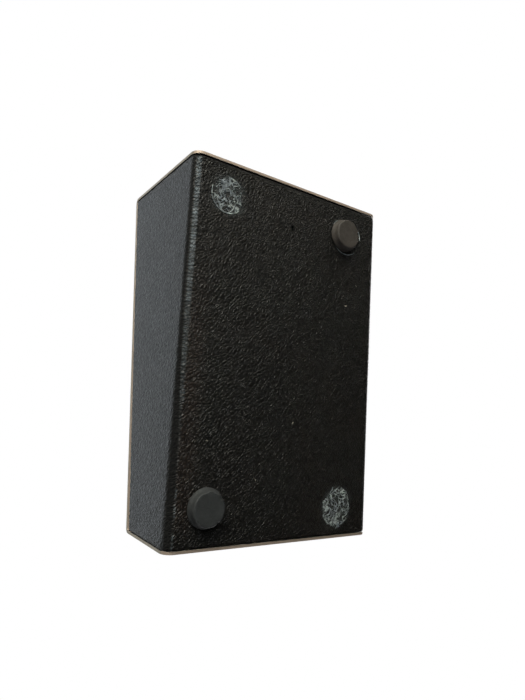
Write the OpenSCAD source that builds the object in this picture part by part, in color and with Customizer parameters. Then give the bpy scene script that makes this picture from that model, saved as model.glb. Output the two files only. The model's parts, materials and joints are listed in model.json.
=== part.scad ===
// Wedge-shaped passive direct injection box: a vinyl-covered steel cover on a bent
// aluminium chassis, with two phone jacks, one XLR output, two slide switches and a
// transformer board inside. Millimetres, +Z up, feet down, low jack end at -Y.
// The origin is on the resting plane, midway between the outermost points of the box.

/* [Case] */
// Length of the case over its two end plates
body_l = 127; // [122:1:140]
// Width of the case
body_w = 83.2; // [80:0.2:90]
// Height of the tall rear end, without feet
rear_h = 53.6; // [52:0.2:62]
// Height of the low front end, without feet
front_h = 31.7; // [31:0.1:36]
// Thickness of the aluminium chassis sheet
chassis_t = 0.9; // [0.8:0.1:1.2]
// Thickness of the steel cover sheet
cover_t = 0.8; // [0.6:0.1:1]
// Thickness of the vinyl skin on the cover
skin_t = 0.3; // [0.2:0.05:0.4]
// Outside radius of the cover's two long folds
fold_r = 3; // [2:0.25:4]
// Gap between the cover and the rear end plate
rear_gap = 0.6; // [0.3:0.1:1]
// Gap between the cover and the front end plate
front_gap = 0.3; // [0.2:0.1:1]
// Gap under the top panel's edge at the front
front_lip_gap = 1.7; // [0.3:0.1:2]
// Gap under the top panel's edge at the rear
rear_lip_gap = 0.3; // [0.2:0.1:2]

/* [Feet] */
// Diameter of a foot at its glued base
foot_base_d = 12.7; // [10:0.1:14]
// Diameter of a foot at its free face
foot_tip_d = 11; // [8:0.1:12]
// Height of a foot over its adhesive
foot_h = 3.2; // [2:0.1:5]
// Thickness of a foot's adhesive
glue_t = 0.2; // [0.15:0.05:0.3]

/* [Jacks] */
// Distance of each jack from the centre line
jack_x = 18; // [16:0.5:20]
// Height of the jacks over the underside
jack_rise = 15.5; // [14.5:0.5:16.5]
// Inside diameter of a jack
jack_bore_d = 6.5; // [6.4:0.05:6.6]
// Outside diameter of a jack's threaded bushing
bushing_d = 9.4; // [9:0.1:9.6]
// How far the bushing stands out of the front plate
jack_nose = 3.2; // [3:0.1:4]

/* [Output connector] */
// Height of the XLR centre over the underside
xlr_rise = 28; // [26:0.5:31]
// Thickness of the XLR flange
xlr_flange_t = 2; // [1.6:0.2:3]
// Inside diameter of the XLR cup
xlr_cup_d = 16.7; // [16.4:0.1:17]

/* [Switches] */
// Distance of the ground-lift switch behind the middle of the case
lift_back = 20; // [18:1:24]
// Distance of the pad switch before the middle of the case
pad_front = 23.5; // [20:0.5:26]
// Travel of the ground-lift slider
lift_travel = 4; // [3:0.5:5]
// Travel of the pad slider, over its three positions
pad_travel = 6; // [5:0.5:6]

/* [Hidden] */

// Places of the case
shift_y = (jack_nose - xlr_flange_t) / 2;
front_y = -body_l / 2 + shift_y;
rear_y = body_l / 2 + shift_y;
base_z = foot_h;
slope = atan((rear_h - front_h) / body_l);
plate_in_y = front_y + chassis_t;
rear_in_y = rear_y - chassis_t;
floor_z = base_z + skin_t + cover_t;
plate_corner_r = fold_r + 0.4;
bend_r = 1.8;
eps = 0.01;
fine = 64;

// Feet: centre of each glue spot, and which of them still hold a foot
front_right_foot = [28.9, front_y + 13.1];
rear_left_foot = [-23.7, rear_y - 13.2];
rear_right_spot = [28.5, rear_y - 12.2];
front_left_spot = [-25.8, front_y + 11.4];

// Jacks
jack_z = base_z + jack_rise;
bore_r = jack_bore_d / 2;
housing_w = 18;
housing_h = 14;
housing_l = 28;
washer_t = 0.5;
nut_t = 1.9;
nut_flats = 12.7;
leaf_t = 0.3;
leaf_root_y = plate_in_y + 8.6;
leaf_root_z = 5.2;
leaf_l = 15;
stop_z = leaf_root_z - 1.75;
bushing_rim = 1.5;
plug_room_r = bore_r + 0.95;
tail_pin = [5.8, 5.6];
side_pin = [7, 16.2];

// Output connector
xlr_z = base_z + xlr_rise;
xlr_flange_w = 26;
xlr_flange_h = 31;
xlr_barrel_r = 11.75;
xlr_shell_l = 21;
xlr_insert_t = 6;
xlr_pin_circle_r = 3.7;
xlr_pin_r = 1.2;
xlr_tail_y = rear_y - xlr_shell_l - 3;
xlr_pin_angles = [161, 19, 270];
xlr_screw_dx = 9.5;
xlr_screw_dz = 12;

// Slide switches, measured down from the panel's outer face
frame_t = 0.8;
can_l = 22;
can_w = 12;
can_h = 6.6;
wall_t = 0.6;
switch_base_t = 1.6;
ear_pitch = 28.6;
frame_l = 35;
stem_l = 4;
stem_w = 4.6;
run_gap = 0.25;
lift_y = shift_y + lift_back;
pad_y = shift_y - pad_front;
lift_poles = [-4.5, 0, 4.5];
pad_poles = [-7, -2.4, 2.4, 7];

// Board
board_t = 1.6;
board_top_z = jack_z - housing_h / 2;
board_w = 60;
board_front_y = plate_in_y + 1.6;
board_rear_y = shift_y + 27;
bracket_t = 1.2;
bracket_w = 28;
board_screw_x = 9;
board_screw_y = shift_y + 22.5;
pin_under = 1.6;
lead_under = 1.2;
lead_r = 0.35;
lead_hole_r = 0.5;
resistor_places = [for (i = [0 : 4]) [-19 + i * 9.5, shift_y - 14.5]];
resistor_pitch = 10;
capacitor_place = [22, shift_y + 14];
capacitor_pitch = 7.5;

// Transformer
core_w = 28;
core_h = 22;
core_t = 10;
core_y = shift_y - 1;
leg_w = 8;
yoke_h = 4;
window_w = 6;
strap_t = 0.7;
core_low_z = board_top_z + 0.3;
transformer_screw_x = core_w / 2 + 4.5;

// Screws
m3_r = 1.45;
m3_hole_r = 1.7;
m3_head_r = 2.8;
m3_head_h = 1.7;
cover_screw_rise = 8;
front_screw_x = 33;
rear_screw_x = 30;
tab_t = 1.5;
small_nut_flats = 5.5;
small_nut_h = 2.4;

// Ground lug
lug_x = -xlr_screw_dx;
lug_z = xlr_z - xlr_screw_dz;
lug_t = 0.46;
lug_end = [lug_x - 6.4, rear_in_y - 5.2, lug_z];

// Wires
wire_r = 0.6;
wire_sides = 8;
wire_rings = 14;
wire_low_z = board_top_z + wire_r + 0.05;

// Unit vector along v
function unit(v) = v / norm(v);

// v turned by angle a in its plane
function turned(v, a) = [v[0] * cos(a) - v[1] * sin(a), v[0] * sin(a) + v[1] * cos(a)];

// Points of an arc of radius r that rounds the corner p between points a and b
function round_corner(a, p, b, r, steps = 8) =
    let (
        u = unit(a - p),
        w = unit(b - p),
        half = acos(u * w) / 2,
        centre = p + unit(u + w) * r / sin(half),
        start = p + u * r / tan(half) - centre,
        side = u[0] * w[1] - u[1] * w[0] > 0 ? 1 : -1,
        sweep = -side * (180 - 2 * half)
    )
    [for (i = [0 : steps]) centre + turned(start, sweep * i / steps)];

// Closed outline of points with every corner rounded to r
function rounded(points, r, steps = 8) =
    let (n = len(points))
    [for (i = [0 : n - 1])
        each round_corner(points[(i + n - 1) % n], points[i], points[(i + 1) % n], r, steps)];

// Normal of the segment from a to b, to its left
function left_of(a, b) = turned(unit(b - a), 90);

// Mitred offset of point i of a bent strip by half its thickness
function mitre(p, i, half_t) =
    let (
        last = len(p) - 1,
        before = left_of(p[max(i - 1, 0)], p[max(i, 1)]),
        after = left_of(p[min(i, last - 1)], p[min(i + 1, last)]),
        middle = unit(before + after)
    )
    p[i] + middle * half_t / (middle * after);

// Outline of a strip of thickness t along the bent line p
function strip(p, t) = concat(
    [for (i = [0 : len(p) - 1]) mitre(p, i, t / 2)],
    [for (i = [len(p) - 1 : -1 : 0]) mitre(p, i, -t / 2)]);

// Extrusion of an X-Z outline from y0 to y1
module along_y(y0, y1) {
    translate([0, y1, 0])
        rotate([90, 0, 0])
            linear_extrude(y1 - y0)
                children();
}

// Extrusion of a Y-Z outline from x0 to x1
module along_x(x0, x1) {
    translate([x0, 0, 0])
        rotate([90, 0, 90])
            linear_extrude(x1 - x0)
                children();
}

// Round bar along +Y
module bar_y(r, y0, y1, sides = fine) {
    translate([0, y1, 0])
        rotate([90, 0, 0])
            cylinder(r = r, h = y1 - y0, $fn = sides);
}

// Round bar along +Z
module bar_z(r, z0, z1, sides = fine) {
    translate([0, 0, z0])
        cylinder(r = r, h = z1 - z0, $fn = sides);
}

// Box between two corners
module block(low, high) {
    translate(low)
        cube(high - low);
}

// Children moved to a point of the top panel, with Z along the panel's normal
module on_panel(y) {
    rise = front_h + (y - front_y) * tan(slope);
    translate([0, y, base_z + rise])
        rotate([slope, 0, 0])
            children();
}

// Cross recess in a screw head whose top is at z = 0
module cross_recess(size = 2.6, depth = 0.9) {
    for (a = [0, 90])
        rotate([0, 0, a])
            translate([0, 0, eps])
                block([-size / 2, -0.3, -depth], [size / 2, 0.3, 0]);
}

// Pan-head screw: its head stands on z = 0 and its shank runs down to -l
module pan_screw(l) {
    difference() {
        rotate_extrude($fn = fine)
            polygon(concat(
                [[0, -l], [m3_r - 0.4, -l], [m3_r, -l + 0.5], [m3_r, 0], [m3_head_r, 0]],
                round_corner([m3_head_r, 0], [m3_head_r, m3_head_h], [0, m3_head_h], 1, 5),
                [[0, m3_head_h]]));
        translate([0, 0, m3_head_h])
            cross_recess();
    }
}

// Countersunk screw: its flat head ends at z = 0 and its shank runs down to -l
module flat_screw(l) {
    difference() {
        rotate_extrude($fn = fine)
            polygon([[0, -l], [m3_r - 0.4, -l], [m3_r, -l + 0.5], [m3_r, -1.5],
                [m3_head_r, -0.2], [m3_head_r, 0], [0, 0]]);
        cross_recess();
    }
}

// Hexagon nut standing on z = 0, with a round hole
module hex_nut(flats, hole_r, h) {
    difference() {
        intersection() {
            cylinder(r = flats / 2 / cos(30), h = h, $fn = 6);
            rotate_extrude($fn = fine)
                polygon([[0, 0], [flats / 2 + 0.2, 0], [flats / 2 + 1, 0.5],
                    [flats / 2 + 1, h - 0.5], [flats / 2 + 0.2, h], [0, h]]);
        }
        translate([0, 0, -eps])
            cylinder(r = hole_r, h = h + 2 * eps, $fn = fine);
    }
}

// Point of a smooth curve with ends a and d and handles b and c
function curve(a, b, c, d, s) =
    a * pow(1 - s, 3) + 3 * b * s * pow(1 - s, 2) + 3 * c * s * s * (1 - s) + d * pow(s, 3);

// Ring of points of radius r round point p, square to the direction t
function ring(p, t, r, sides) =
    let (
        u = unit(cross(t, [1, 0.35, 0.2])),
        w = unit(cross(t, u))
    )
    [for (k = [0 : sides - 1])
        p + r * cos(360 * k / sides) * u + r * sin(360 * k / sides) * w];

// Insulated wire along the curve a, b, c, d
module wire(a, b, c, d, r = wire_r) {
    path = [for (i = [0 : wire_rings]) curve(a, b, c, d, i / wire_rings)];
    last = len(path) - 1;
    n = wire_sides;
    points = [for (i = [0 : last])
        each ring(path[i], unit(path[min(i + 1, last)] - path[max(i - 1, 0)]), r, n)];
    walls = [for (i = [0 : last - 1], k = [0 : n - 1])
        [i * n + k, i * n + (k + 1) % n, (i + 1) * n + (k + 1) % n, (i + 1) * n + k]];
    start_cap = [for (k = [n - 1 : -1 : 0]) k];
    end_cap = [for (k = [0 : n - 1]) last * n + k];
    polyhedron(points, concat([start_cap], walls, [end_cap]));
}

// ---- Case ----

// X-Z outline of the cover's U at a depth d under its outer face
module cover_outline(d) {
    w = body_w / 2 - d;
    r = fold_r - d;
    low = base_z + d;
    high = base_z + rear_h + 10;
    polygon(concat(
        [[-w, high]],
        round_corner([-w, high], [-w, low], [w, low], r),
        round_corner([-w, low], [w, low], [w, high], r),
        [[w, high]]));
}

// Y-Z outline of all that lies above the cover's sloping edge
module above_cover_edge() {
    over = 5;
    front_z = base_z + front_h - chassis_t - front_lip_gap;
    rear_z = base_z + rear_h - chassis_t - rear_lip_gap;
    rise = (rear_z - front_z) / body_l;
    polygon([[front_y - over, front_z - over * rise], [rear_y + over, rear_z + over * rise],
        [rear_y + over, base_z + 2 * rear_h], [front_y - over, base_z + 2 * rear_h]]);
}

// Sheet of the cover between two depths under its outer face
module cover_sheet(outer, inner) {
    y0 = plate_in_y + front_gap;
    y1 = rear_in_y - rear_gap;
    difference() {
        along_y(y0, y1)
            cover_outline(outer);
        along_y(y0 - 1, y1 + 1)
            cover_outline(inner);
        along_x(-body_w, body_w)
            above_cover_edge();
        ragged_hole();
    }
}

// Small ragged hole through the underside, near the centre line
module ragged_hole() {
    translate([0.9, rear_y - 16.5, base_z - 1])
        linear_extrude(4)
            polygon([[-0.5, -0.9], [0.3, -1.1], [0.6, -0.2], [0.4, 0.9], [-0.2, 1.1], [-0.6, 0.3]]);
}

module cover() {
    color("dimgray")
        cover_sheet(skin_t, skin_t + cover_t);
}

module cover_skin() {
    color("black")
        cover_sheet(0, skin_t);
}

// Y-Z outline of the chassis, d under its outer face and open towards the underside
module chassis_outline(d, low) {
    front_top = [front_y + d, base_z + front_h - d / cos(slope) + d * tan(slope)];
    rear_top = [rear_y - d, base_z + rear_h - d / cos(slope) - d * tan(slope)];
    front_foot = [front_y + d, low];
    rear_foot = [rear_y - d, low];
    polygon(concat(
        [front_foot],
        round_corner(front_foot, front_top, rear_top, bend_r - d),
        round_corner(front_top, rear_top, rear_foot, bend_r - d),
        [rear_foot]));
}

// Chassis sheet with rounded lower corners and no openings
module chassis_blank() {
    w = body_w / 2;
    high = base_z + rear_h + 5;
    corners = [[-w, high], [-w, base_z], [w, base_z], [w, high]];
    intersection() {
        difference() {
            along_x(-w, w)
                chassis_outline(0, base_z);
            along_x(-w - 1, w + 1)
                chassis_outline(chassis_t, base_z - 1);
        }
        along_y(front_y - 1, rear_y + 1)
            polygon(concat(
                [corners[0]],
                round_corner(corners[0], corners[1], corners[2], plate_corner_r),
                round_corner(corners[1], corners[2], corners[3], plate_corner_r),
                [corners[3]]));
    }
}

// Slot and screw holes of one slide switch, cut in the panel
module switch_cutout(travel) {
    slot_l = stem_l + travel + 1;
    slot_w = stem_w + 1;
    block([-slot_l / 2, -slot_w / 2, -2], [slot_l / 2, slot_w / 2, 1]);
    for (s = [-1, 1])
        translate([s * ear_pitch / 2, 0, 0])
            bar_z(m3_hole_r, -2, 1);
}

module chassis() {
    color("silver")
        difference() {
            chassis_blank();
            for (s = [-1, 1]) {
                translate([s * jack_x, 0, jack_z])
                    bar_y(bushing_d / 2 + 0.2, front_y - 1, plate_in_y + 1);
                translate([s * front_screw_x, 0, base_z + cover_screw_rise])
                    bar_y(m3_hole_r, front_y - 1, plate_in_y + 1);
                translate([s * rear_screw_x, 0, base_z + cover_screw_rise])
                    bar_y(m3_hole_r, rear_in_y - 1, rear_y + 1);
                translate([s * xlr_screw_dx, 0, xlr_z + s * xlr_screw_dz])
                    bar_y(m3_hole_r, rear_in_y - 1, rear_y + 1);
            }
            translate([0, 0, xlr_z])
                bar_y(xlr_barrel_r + 0.25, rear_in_y - 1, rear_y + 1);
            on_panel(lift_y)
                switch_cutout(lift_travel);
            on_panel(pad_y)
                switch_cutout(pad_travel);
        }
}

// Four tapped angle brackets, fixed to the inside of the cover
module cover_brackets() {
    leg = 10;
    half_w = 4.4;
    hole_z = base_z + cover_screw_rise;
    top_z = hole_z + 4.5;
    foot_z = floor_z + tab_t / 2 + 0.02;
    stand = tab_t / 2 + 0.1;
    color("gainsboro")
        for (s = [-1, 1]) {
            bracket([s * front_screw_x, plate_in_y + stand], 1, half_w, leg, foot_z, top_z, hole_z);
            bracket([s * rear_screw_x, rear_in_y - stand], -1, half_w, leg, foot_z, top_z, hole_z);
        }
}

// One angle bracket whose upright leg is at place[1] and whose foot points along dir
module bracket(place, dir, half_w, leg, foot_z, top_z, hole_z) {
    difference() {
        along_x(place[0] - half_w, place[0] + half_w)
            polygon(strip([[place[1], top_z], [place[1], foot_z], [place[1] + dir * leg, foot_z]],
                tab_t));
        translate([place[0], place[1], hole_z])
            bar_y(m3_r + 0.05, -2, 2);
    }
}

module cover_screws() {
    l = 6;
    color("silver")
        for (s = [-1, 1]) {
            translate([s * front_screw_x, front_y, base_z + cover_screw_rise])
                rotate([90, 45, 0])
                    pan_screw(l);
            translate([s * rear_screw_x, rear_y, base_z + cover_screw_rise])
                rotate([-90, 20, 0])
                    pan_screw(l);
        }
}

// ---- Feet ----

// Stick-on foot: a flat-topped cone with a rounded free edge and a dished face
module foot(place) {
    base_r = foot_base_d / 2;
    tip_r = foot_tip_d / 2;
    top = base_z - glue_t;
    translate([place[0], place[1], 0])
        rotate_extrude($fn = fine)
            polygon(concat(
                [[0, 0.15], [tip_r - 1.6, 0.15], [tip_r - 1.3, 0]],
                round_corner([0, 0], [tip_r, 0], [base_r, top - 0.4], 0.6, 6),
                [[base_r, top - 0.4], [base_r, top], [0, top]]));
}

module foot_front_right() {
    color("darkslategray")
        foot(front_right_foot);
}

module foot_rear_left() {
    color("dimgray")
        foot(rear_left_foot);
}

// Four discs of adhesive, two of them with no foot left on
module foot_adhesive() {
    color("lightsteelblue") {
        for (p = [front_right_foot, rear_left_foot, rear_right_spot, front_left_spot])
            translate([p[0], p[1], 0])
                bar_z(foot_base_d / 2 - 0.15, base_z - glue_t, base_z);
    }
}

// ---- Phone jacks: built at x = 0, z = 0 and moved to their place ----

module at_jack(x) {
    translate([x, 0, jack_z])
        children();
}

module jack_body(x) {
    w = housing_w / 2;
    h = housing_h / 2;
    y0 = plate_in_y;
    y1 = plate_in_y + housing_l;
    color("black")
        at_jack(x)
            difference() {
                block([-w, y0, -h], [w, y1, h]);
                bar_y(bushing_d / 2 + bushing_rim + 0.1, y0 - 1, y0 + 1.05);
                bar_y(plug_room_r, y0 - 1, y1 - 2);
                block([-3.2, y0 + 8.8, 0], [3.2, y1 - 2, h + 1]);
                block([-2.4, y0 + 3, leaf_root_z - 0.3], [6.4, y0 + 9, h + 1]);
                block([5.2, y0 + 5, -h - 1], [6.4, y0 + 6.6, h + 1]);
                block([-2.2, y1 - 3, stop_z - 0.3], [2.2, y1 + 1, stop_z + 0.3]);
            }
}

module jack_bushing(x) {
    outer = bushing_d / 2;
    end = jack_nose + chassis_t + 1;
    color("silver")
        at_jack(x)
            translate([0, plate_in_y + 1, 0])
                rotate([90, 0, 0])
                    rotate_extrude($fn = fine)
                        polygon([[bore_r, 0], [outer + bushing_rim, 0], [outer + bushing_rim, 0.98],
                            [outer, 0.98], [outer, end - 0.5], [outer - 0.5, end],
                            [bore_r + 0.4, end], [bore_r, end - 0.4]]);
}

module jack_washer(x) {
    color("gainsboro")
        at_jack(x)
            translate([0, front_y, 0])
                rotate([90, 0, 0])
                    difference() {
                        cylinder(r = 7.6, h = washer_t, $fn = fine);
                        translate([0, 0, -eps])
                            cylinder(r = bushing_d / 2 + 0.1, h = washer_t + 2 * eps, $fn = fine);
                    }
}

module jack_nut(x, turn) {
    color("silver")
        at_jack(x)
            translate([0, front_y - washer_t, 0])
                rotate([90, turn, 0])
                    hex_nut(nut_flats, bushing_d / 2 + 0.02, nut_t);
}

// Leaf that presses on a plug's tip: it is hinged where the fixed tail grips it
module tip_spring(x) {
    line = [[0.3, 0], [leaf_l - 6, -1.1], [leaf_l - 3, -3], [leaf_l - 1.2, -1.4], [leaf_l, -1.2]];
    path = [for (p = line) [leaf_root_y + p[0], leaf_root_z + p[1]]];
    color("gold")
        at_jack(x)
            along_x(-2, 2)
                polygon(strip(path, leaf_t));
}

// Fixed contacts: the leaf's tail with its pin, the normalling contact and two more pins
module jack_contacts(x) {
    root = leaf_root_z;
    under = -housing_h / 2;
    low = under - board_t - pin_under;
    tail_y = plate_in_y + tail_pin[1];
    side_y = plate_in_y + side_pin[1];
    rear = plate_in_y + housing_l;
    half = 0.2;
    color("goldenrod")
        at_jack(x) {
            along_x(-2, 6)
                polygon(strip([[plate_in_y + 3.4, root], [leaf_root_y, root]], leaf_t));
            block([tail_pin[0] - half, tail_y - 2 * half, low],
                [tail_pin[0] + half, tail_y + 2 * half, root - leaf_t / 2]);
            along_x(-2, 2)
                polygon(strip([[rear - 5.2, stop_z], [rear + 0.4, stop_z], [rear + 0.4, low]],
                    leaf_t));
            for (s = [-1, 1])
                block([s * side_pin[0] - 2 * half, side_y - half, low],
                    [s * side_pin[0] + 2 * half, side_y + half, under]);
        }
}

// ---- XLR output: axis +Y through x = 0, z = xlr_z ----

// Places of the three pins in X and Z
function xlr_pin_places() =
    [for (a = xlr_pin_angles) xlr_pin_circle_r * [cos(a), sin(a)]];

module xlr_shell() {
    w = xlr_flange_w / 2;
    h = xlr_flange_h / 2;
    out_y = rear_y + xlr_flange_t;
    color("silver")
        translate([0, 0, xlr_z])
            difference() {
                union() {
                    along_y(rear_y, out_y)
                        polygon(rounded([[-w, -h], [w, -h], [w, h], [-w, h]], 2.5));
                    bar_y(xlr_barrel_r, rear_y - xlr_shell_l, rear_y);
                }
                bar_y(xlr_cup_d / 2, rear_y - xlr_shell_l - 1, out_y + 1);
                block([-2.6, rear_y - 8, xlr_cup_d / 2 - 1], [2.6, out_y + 1, xlr_cup_d / 2 + 1.2]);
                for (s = [-1, 1])
                    translate([s * xlr_screw_dx, out_y, s * xlr_screw_dz])
                        rotate([-90, 0, 0]) {
                            bar_z(m3_hole_r, -10, 1);
                            rotate_extrude($fn = fine)
                                polygon([[0, -1.6], [m3_hole_r, -1.6], [m3_head_r + 0.15, -0.25],
                                    [m3_head_r + 0.15, 1], [0, 1]]);
                        }
            }
}

module xlr_insert() {
    y0 = rear_y - xlr_shell_l + 2;
    color("black")
        translate([0, 0, xlr_z])
            difference() {
                bar_y(xlr_cup_d / 2 - 0.02, y0, y0 + xlr_insert_t);
                for (p = xlr_pin_places())
                    translate([p[0], 0, p[1]])
                        bar_y(xlr_pin_r + 0.02, y0 - 1, rear_y);
            }
}

// Pins with a round nose in the cup and a hollow solder tail behind the insert
module xlr_pins() {
    tip = rear_y + xlr_flange_t - 2.2 - xlr_tail_y;
    hollow_r = 0.8;
    hollow_l = 3.4;
    color("silver")
        for (p = xlr_pin_places())
            translate([p[0], xlr_tail_y, xlr_z + p[1]])
                rotate([-90, 0, 0])
                    rotate_extrude($fn = 32)
                        polygon(concat(
                            [[0, hollow_l], [hollow_r, hollow_l], [hollow_r, 0], [xlr_pin_r, 0]],
                            round_corner([xlr_pin_r, 0], [xlr_pin_r, tip], [0, tip], 1, 5),
                            [[0, tip]]));
}

module xlr_screws() {
    color("silver")
        for (s = [-1, 1])
            translate([s * xlr_screw_dx, rear_y + xlr_flange_t, xlr_z + s * xlr_screw_dz])
                rotate([-90, s * 25, 0])
                    flat_screw(8);
}

module xlr_nuts() {
    color("gainsboro")
        for (s = [-1, 1]) {
            under = s < 0 ? lug_t + 0.04 : 0;
            translate([s * xlr_screw_dx, rear_in_y - under, xlr_z + s * xlr_screw_dz])
                rotate([90, 10, 0])
                    hex_nut(small_nut_flats, m3_r + 0.03, small_nut_h);
        }
}

// ---- Slide switches: built on the panel, X along the travel, Z out of the panel ----

module switch_frame(y, travel) {
    top = -chassis_t / cos(slope);
    slot_l = stem_l + travel + 1;
    slot_w = stem_w + 1;
    half_w = can_w / 2;
    color("lightgray")
        on_panel(y)
            difference() {
                union() {
                    block([-frame_l / 2, -half_w, top - frame_t], [frame_l / 2, half_w, top]);
                    for (s = [-1, 1])
                        block([-can_l / 2, s * (half_w - wall_t / 2) - wall_t / 2, top - can_h],
                            [can_l / 2, s * (half_w - wall_t / 2) + wall_t / 2, top - frame_t]);
                }
                block([-slot_l / 2, -slot_w / 2, top - 2], [slot_l / 2, slot_w / 2, top + 1]);
                for (s = [-1, 1])
                    translate([s * ear_pitch / 2, 0, 0])
                        bar_z(m3_r + 0.05, top - 2, top + 1);
            }
}

module switch_base(y, poles) {
    top = -chassis_t / cos(slope) - can_h;
    color("saddlebrown")
        on_panel(y)
            difference() {
                block([-can_l / 2, -can_w / 2, top - switch_base_t], [can_l / 2, can_w / 2, top]);
                for (x = poles)
                    translate([x, 0, 0])
                        bar_z(0.82, top - 3, top + 1, 32);
            }
}

// Slider: a flat shoe under the frame and a ribbed stem through the panel's slot
module switch_slider(y, x, travel) {
    top = -chassis_t / cos(slope) - frame_t - run_gap;
    stem_top = 4.2;
    ribs = 3;
    color("black")
        on_panel(y)
            translate([x, 0, 0])
                difference() {
                    union() {
                        shoe = (can_l - travel - 1) / 2;
                        half_w = can_w / 2 - wall_t - run_gap;
                        block([-shoe, -half_w, top - 2.6], [shoe, half_w, top]);
                        block([-stem_l / 2, -stem_w / 2, top - 1], [stem_l / 2, stem_w / 2, stem_top]);
                    }
                    for (i = [0 : ribs - 1])
                        translate([(i - (ribs - 1) / 2) * 1.3, 0, stem_top])
                            block([-0.3, -stem_w, -0.5], [0.3, stem_w, 1]);
                    block([-2.5, -1.6, top - 3], [2.5, 1.6, top - 2]);
                }
}

// Bridging contact pressed into the underside of the slider
module switch_bridge(y, x) {
    top = -chassis_t / cos(slope) - frame_t - run_gap - 2;
    line = [[-4, -2.3], [-2.8, -2.7], [-1.6, -0.3], [1.6, -0.3], [2.8, -2.7], [4, -2.3]];
    color("gold")
        on_panel(y)
            translate([x, 0, top])
                rotate([0, 0, 90])
                    along_x(-1.4, 1.4)
                        polygon(strip(line, 0.4));
}

// Row of riveted terminals that end in solder lugs
module switch_terminals(y, poles) {
    top = -chassis_t / cos(slope) - can_h;
    color("gainsboro")
        on_panel(y)
            for (x = poles)
                translate([x, 0, 0])
                    difference() {
                        union() {
                            bar_z(0.8, top - switch_base_t - 0.5, top + 0.1, 32);
                            bar_z(1.3, top, top + 0.3, 32);
                            block([-1.2, -0.25, top - switch_base_t - 4.5],
                                [1.2, 0.25, top - switch_base_t]);
                        }
                        translate([0, 0, top - switch_base_t - 3.2])
                            rotate([90, 0, 0])
                                translate([0, 0, -1])
                                    cylinder(r = 0.55, h = 2, $fn = 32);
                    }
}

module switch_screws() {
    color("silver")
        for (y = [lift_y, pad_y], s = [-1, 1])
            on_panel(y)
                translate([s * ear_pitch / 2, 0, 0.02])
                    rotate([0, 0, 30 + 25 * s])
                        pan_screw(4.5);
}

// ---- Board and its parts ----

// Through hole in the board at a point
module board_hole(x, y, r) {
    translate([x, y, 0])
        bar_z(r, board_top_z - board_t - 1, board_top_z + 1, 32);
}

module circuit_board() {
    rear = plate_in_y + housing_l;
    color("darkgreen")
        difference() {
            block([-board_w / 2, board_front_y, board_top_z - board_t],
                [board_w / 2, board_rear_y, board_top_z]);
            for (s = [-1, 1]) {
                board_hole(s * board_screw_x, board_screw_y, m3_hole_r);
                board_hole(s * transformer_screw_x, core_y, m3_hole_r);
                board_hole(s * jack_x + tail_pin[0], plate_in_y + tail_pin[1], 0.7);
                for (t = [-1, 1])
                    board_hole(s * jack_x + t * side_pin[0], plate_in_y + side_pin[1], 0.7);
                translate([s * jack_x, rear + 0.4, 0])
                    block([-2.3, -0.4, board_top_z - 3], [2.3, 0.4, board_top_z + 1]);
            }
            for (p = resistor_places, e = [-1, 1])
                board_hole(p[0], p[1] + e * resistor_pitch / 2, lead_hole_r);
            for (e = [-1, 1])
                board_hole(capacitor_place[0], capacitor_place[1] + e * capacitor_pitch / 2,
                    lead_hole_r);
        }
}

// Angle bracket from the rear plate that carries the board's rear edge
module board_bracket() {
    z = board_top_z - board_t - bracket_t / 2 - 0.02;
    y0 = board_rear_y - 8;
    y1 = rear_in_y - bracket_t / 2;
    color("gainsboro")
        difference() {
            along_x(-bracket_w / 2, bracket_w / 2)
                polygon(strip([[y0, z], [y1, z], [y1, z + 5.3]], bracket_t));
            for (s = [-1, 1])
                translate([s * board_screw_x, board_screw_y, 0])
                    bar_z(m3_r + 0.05, z - 2, z + 2);
        }
}

module board_screws() {
    color("silver")
        for (s = [-1, 1])
            translate([s * board_screw_x, board_screw_y, board_top_z])
                rotate([0, 0, 40 * s])
                    pan_screw(5);
}

module transformer_core() {
    color("gray")
        translate([0, core_y, core_low_z])
            difference() {
                block([-core_w / 2, -core_t / 2, 0], [core_w / 2, core_t / 2, core_h]);
                for (s = [-1, 1])
                    translate([s * (leg_w + window_w) / 2, 0, 0])
                        block([-window_w / 2, -core_t, yoke_h],
                            [window_w / 2, core_t, core_h - yoke_h]);
            }
}

// X-Y ring round the middle leg between two distances from it
module leg_ring(inner, outer, z0, z1) {
    translate([0, core_y, core_low_z])
        difference() {
            block([-leg_w / 2 - outer, -core_t / 2 - outer, z0],
                [leg_w / 2 + outer, core_t / 2 + outer, z1]);
            block([-leg_w / 2 - inner, -core_t / 2 - inner, z0 - 1],
                [leg_w / 2 + inner, core_t / 2 + inner, z1 + 1]);
        }
}

module transformer_bobbin() {
    low = yoke_h + 0.1;
    high = core_h - yoke_h - 0.1;
    flange = 0.9;
    color("ivory")
        union() {
            leg_ring(0.1, 1, low, high);
            leg_ring(0.1, window_w - 0.2, low, low + flange);
            leg_ring(0.1, window_w - 0.2, high - flange, high);
        }
}

module transformer_winding() {
    color("chocolate")
        leg_ring(1.05, window_w - 0.7, yoke_h + 1.05, core_h - yoke_h - 1.05);
}

// Steel strap over the core, with a foot at each side
module transformer_strap() {
    x = core_w / 2 + strap_t / 2 + 0.05;
    z = board_top_z + strap_t / 2;
    top = core_low_z + core_h + strap_t / 2 + 0.05;
    out = x + 7.5;
    half_w = 3.6;
    color("gainsboro")
        difference() {
            along_y(core_y - half_w, core_y + half_w)
                polygon(strip([[-out, z], [-x, z], [-x, top], [x, top], [x, z], [out, z]], strap_t));
            for (s = [-1, 1])
                translate([s * transformer_screw_x, core_y, 0])
                    bar_z(m3_hole_r, z - 2, z + 2);
        }
}

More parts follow.
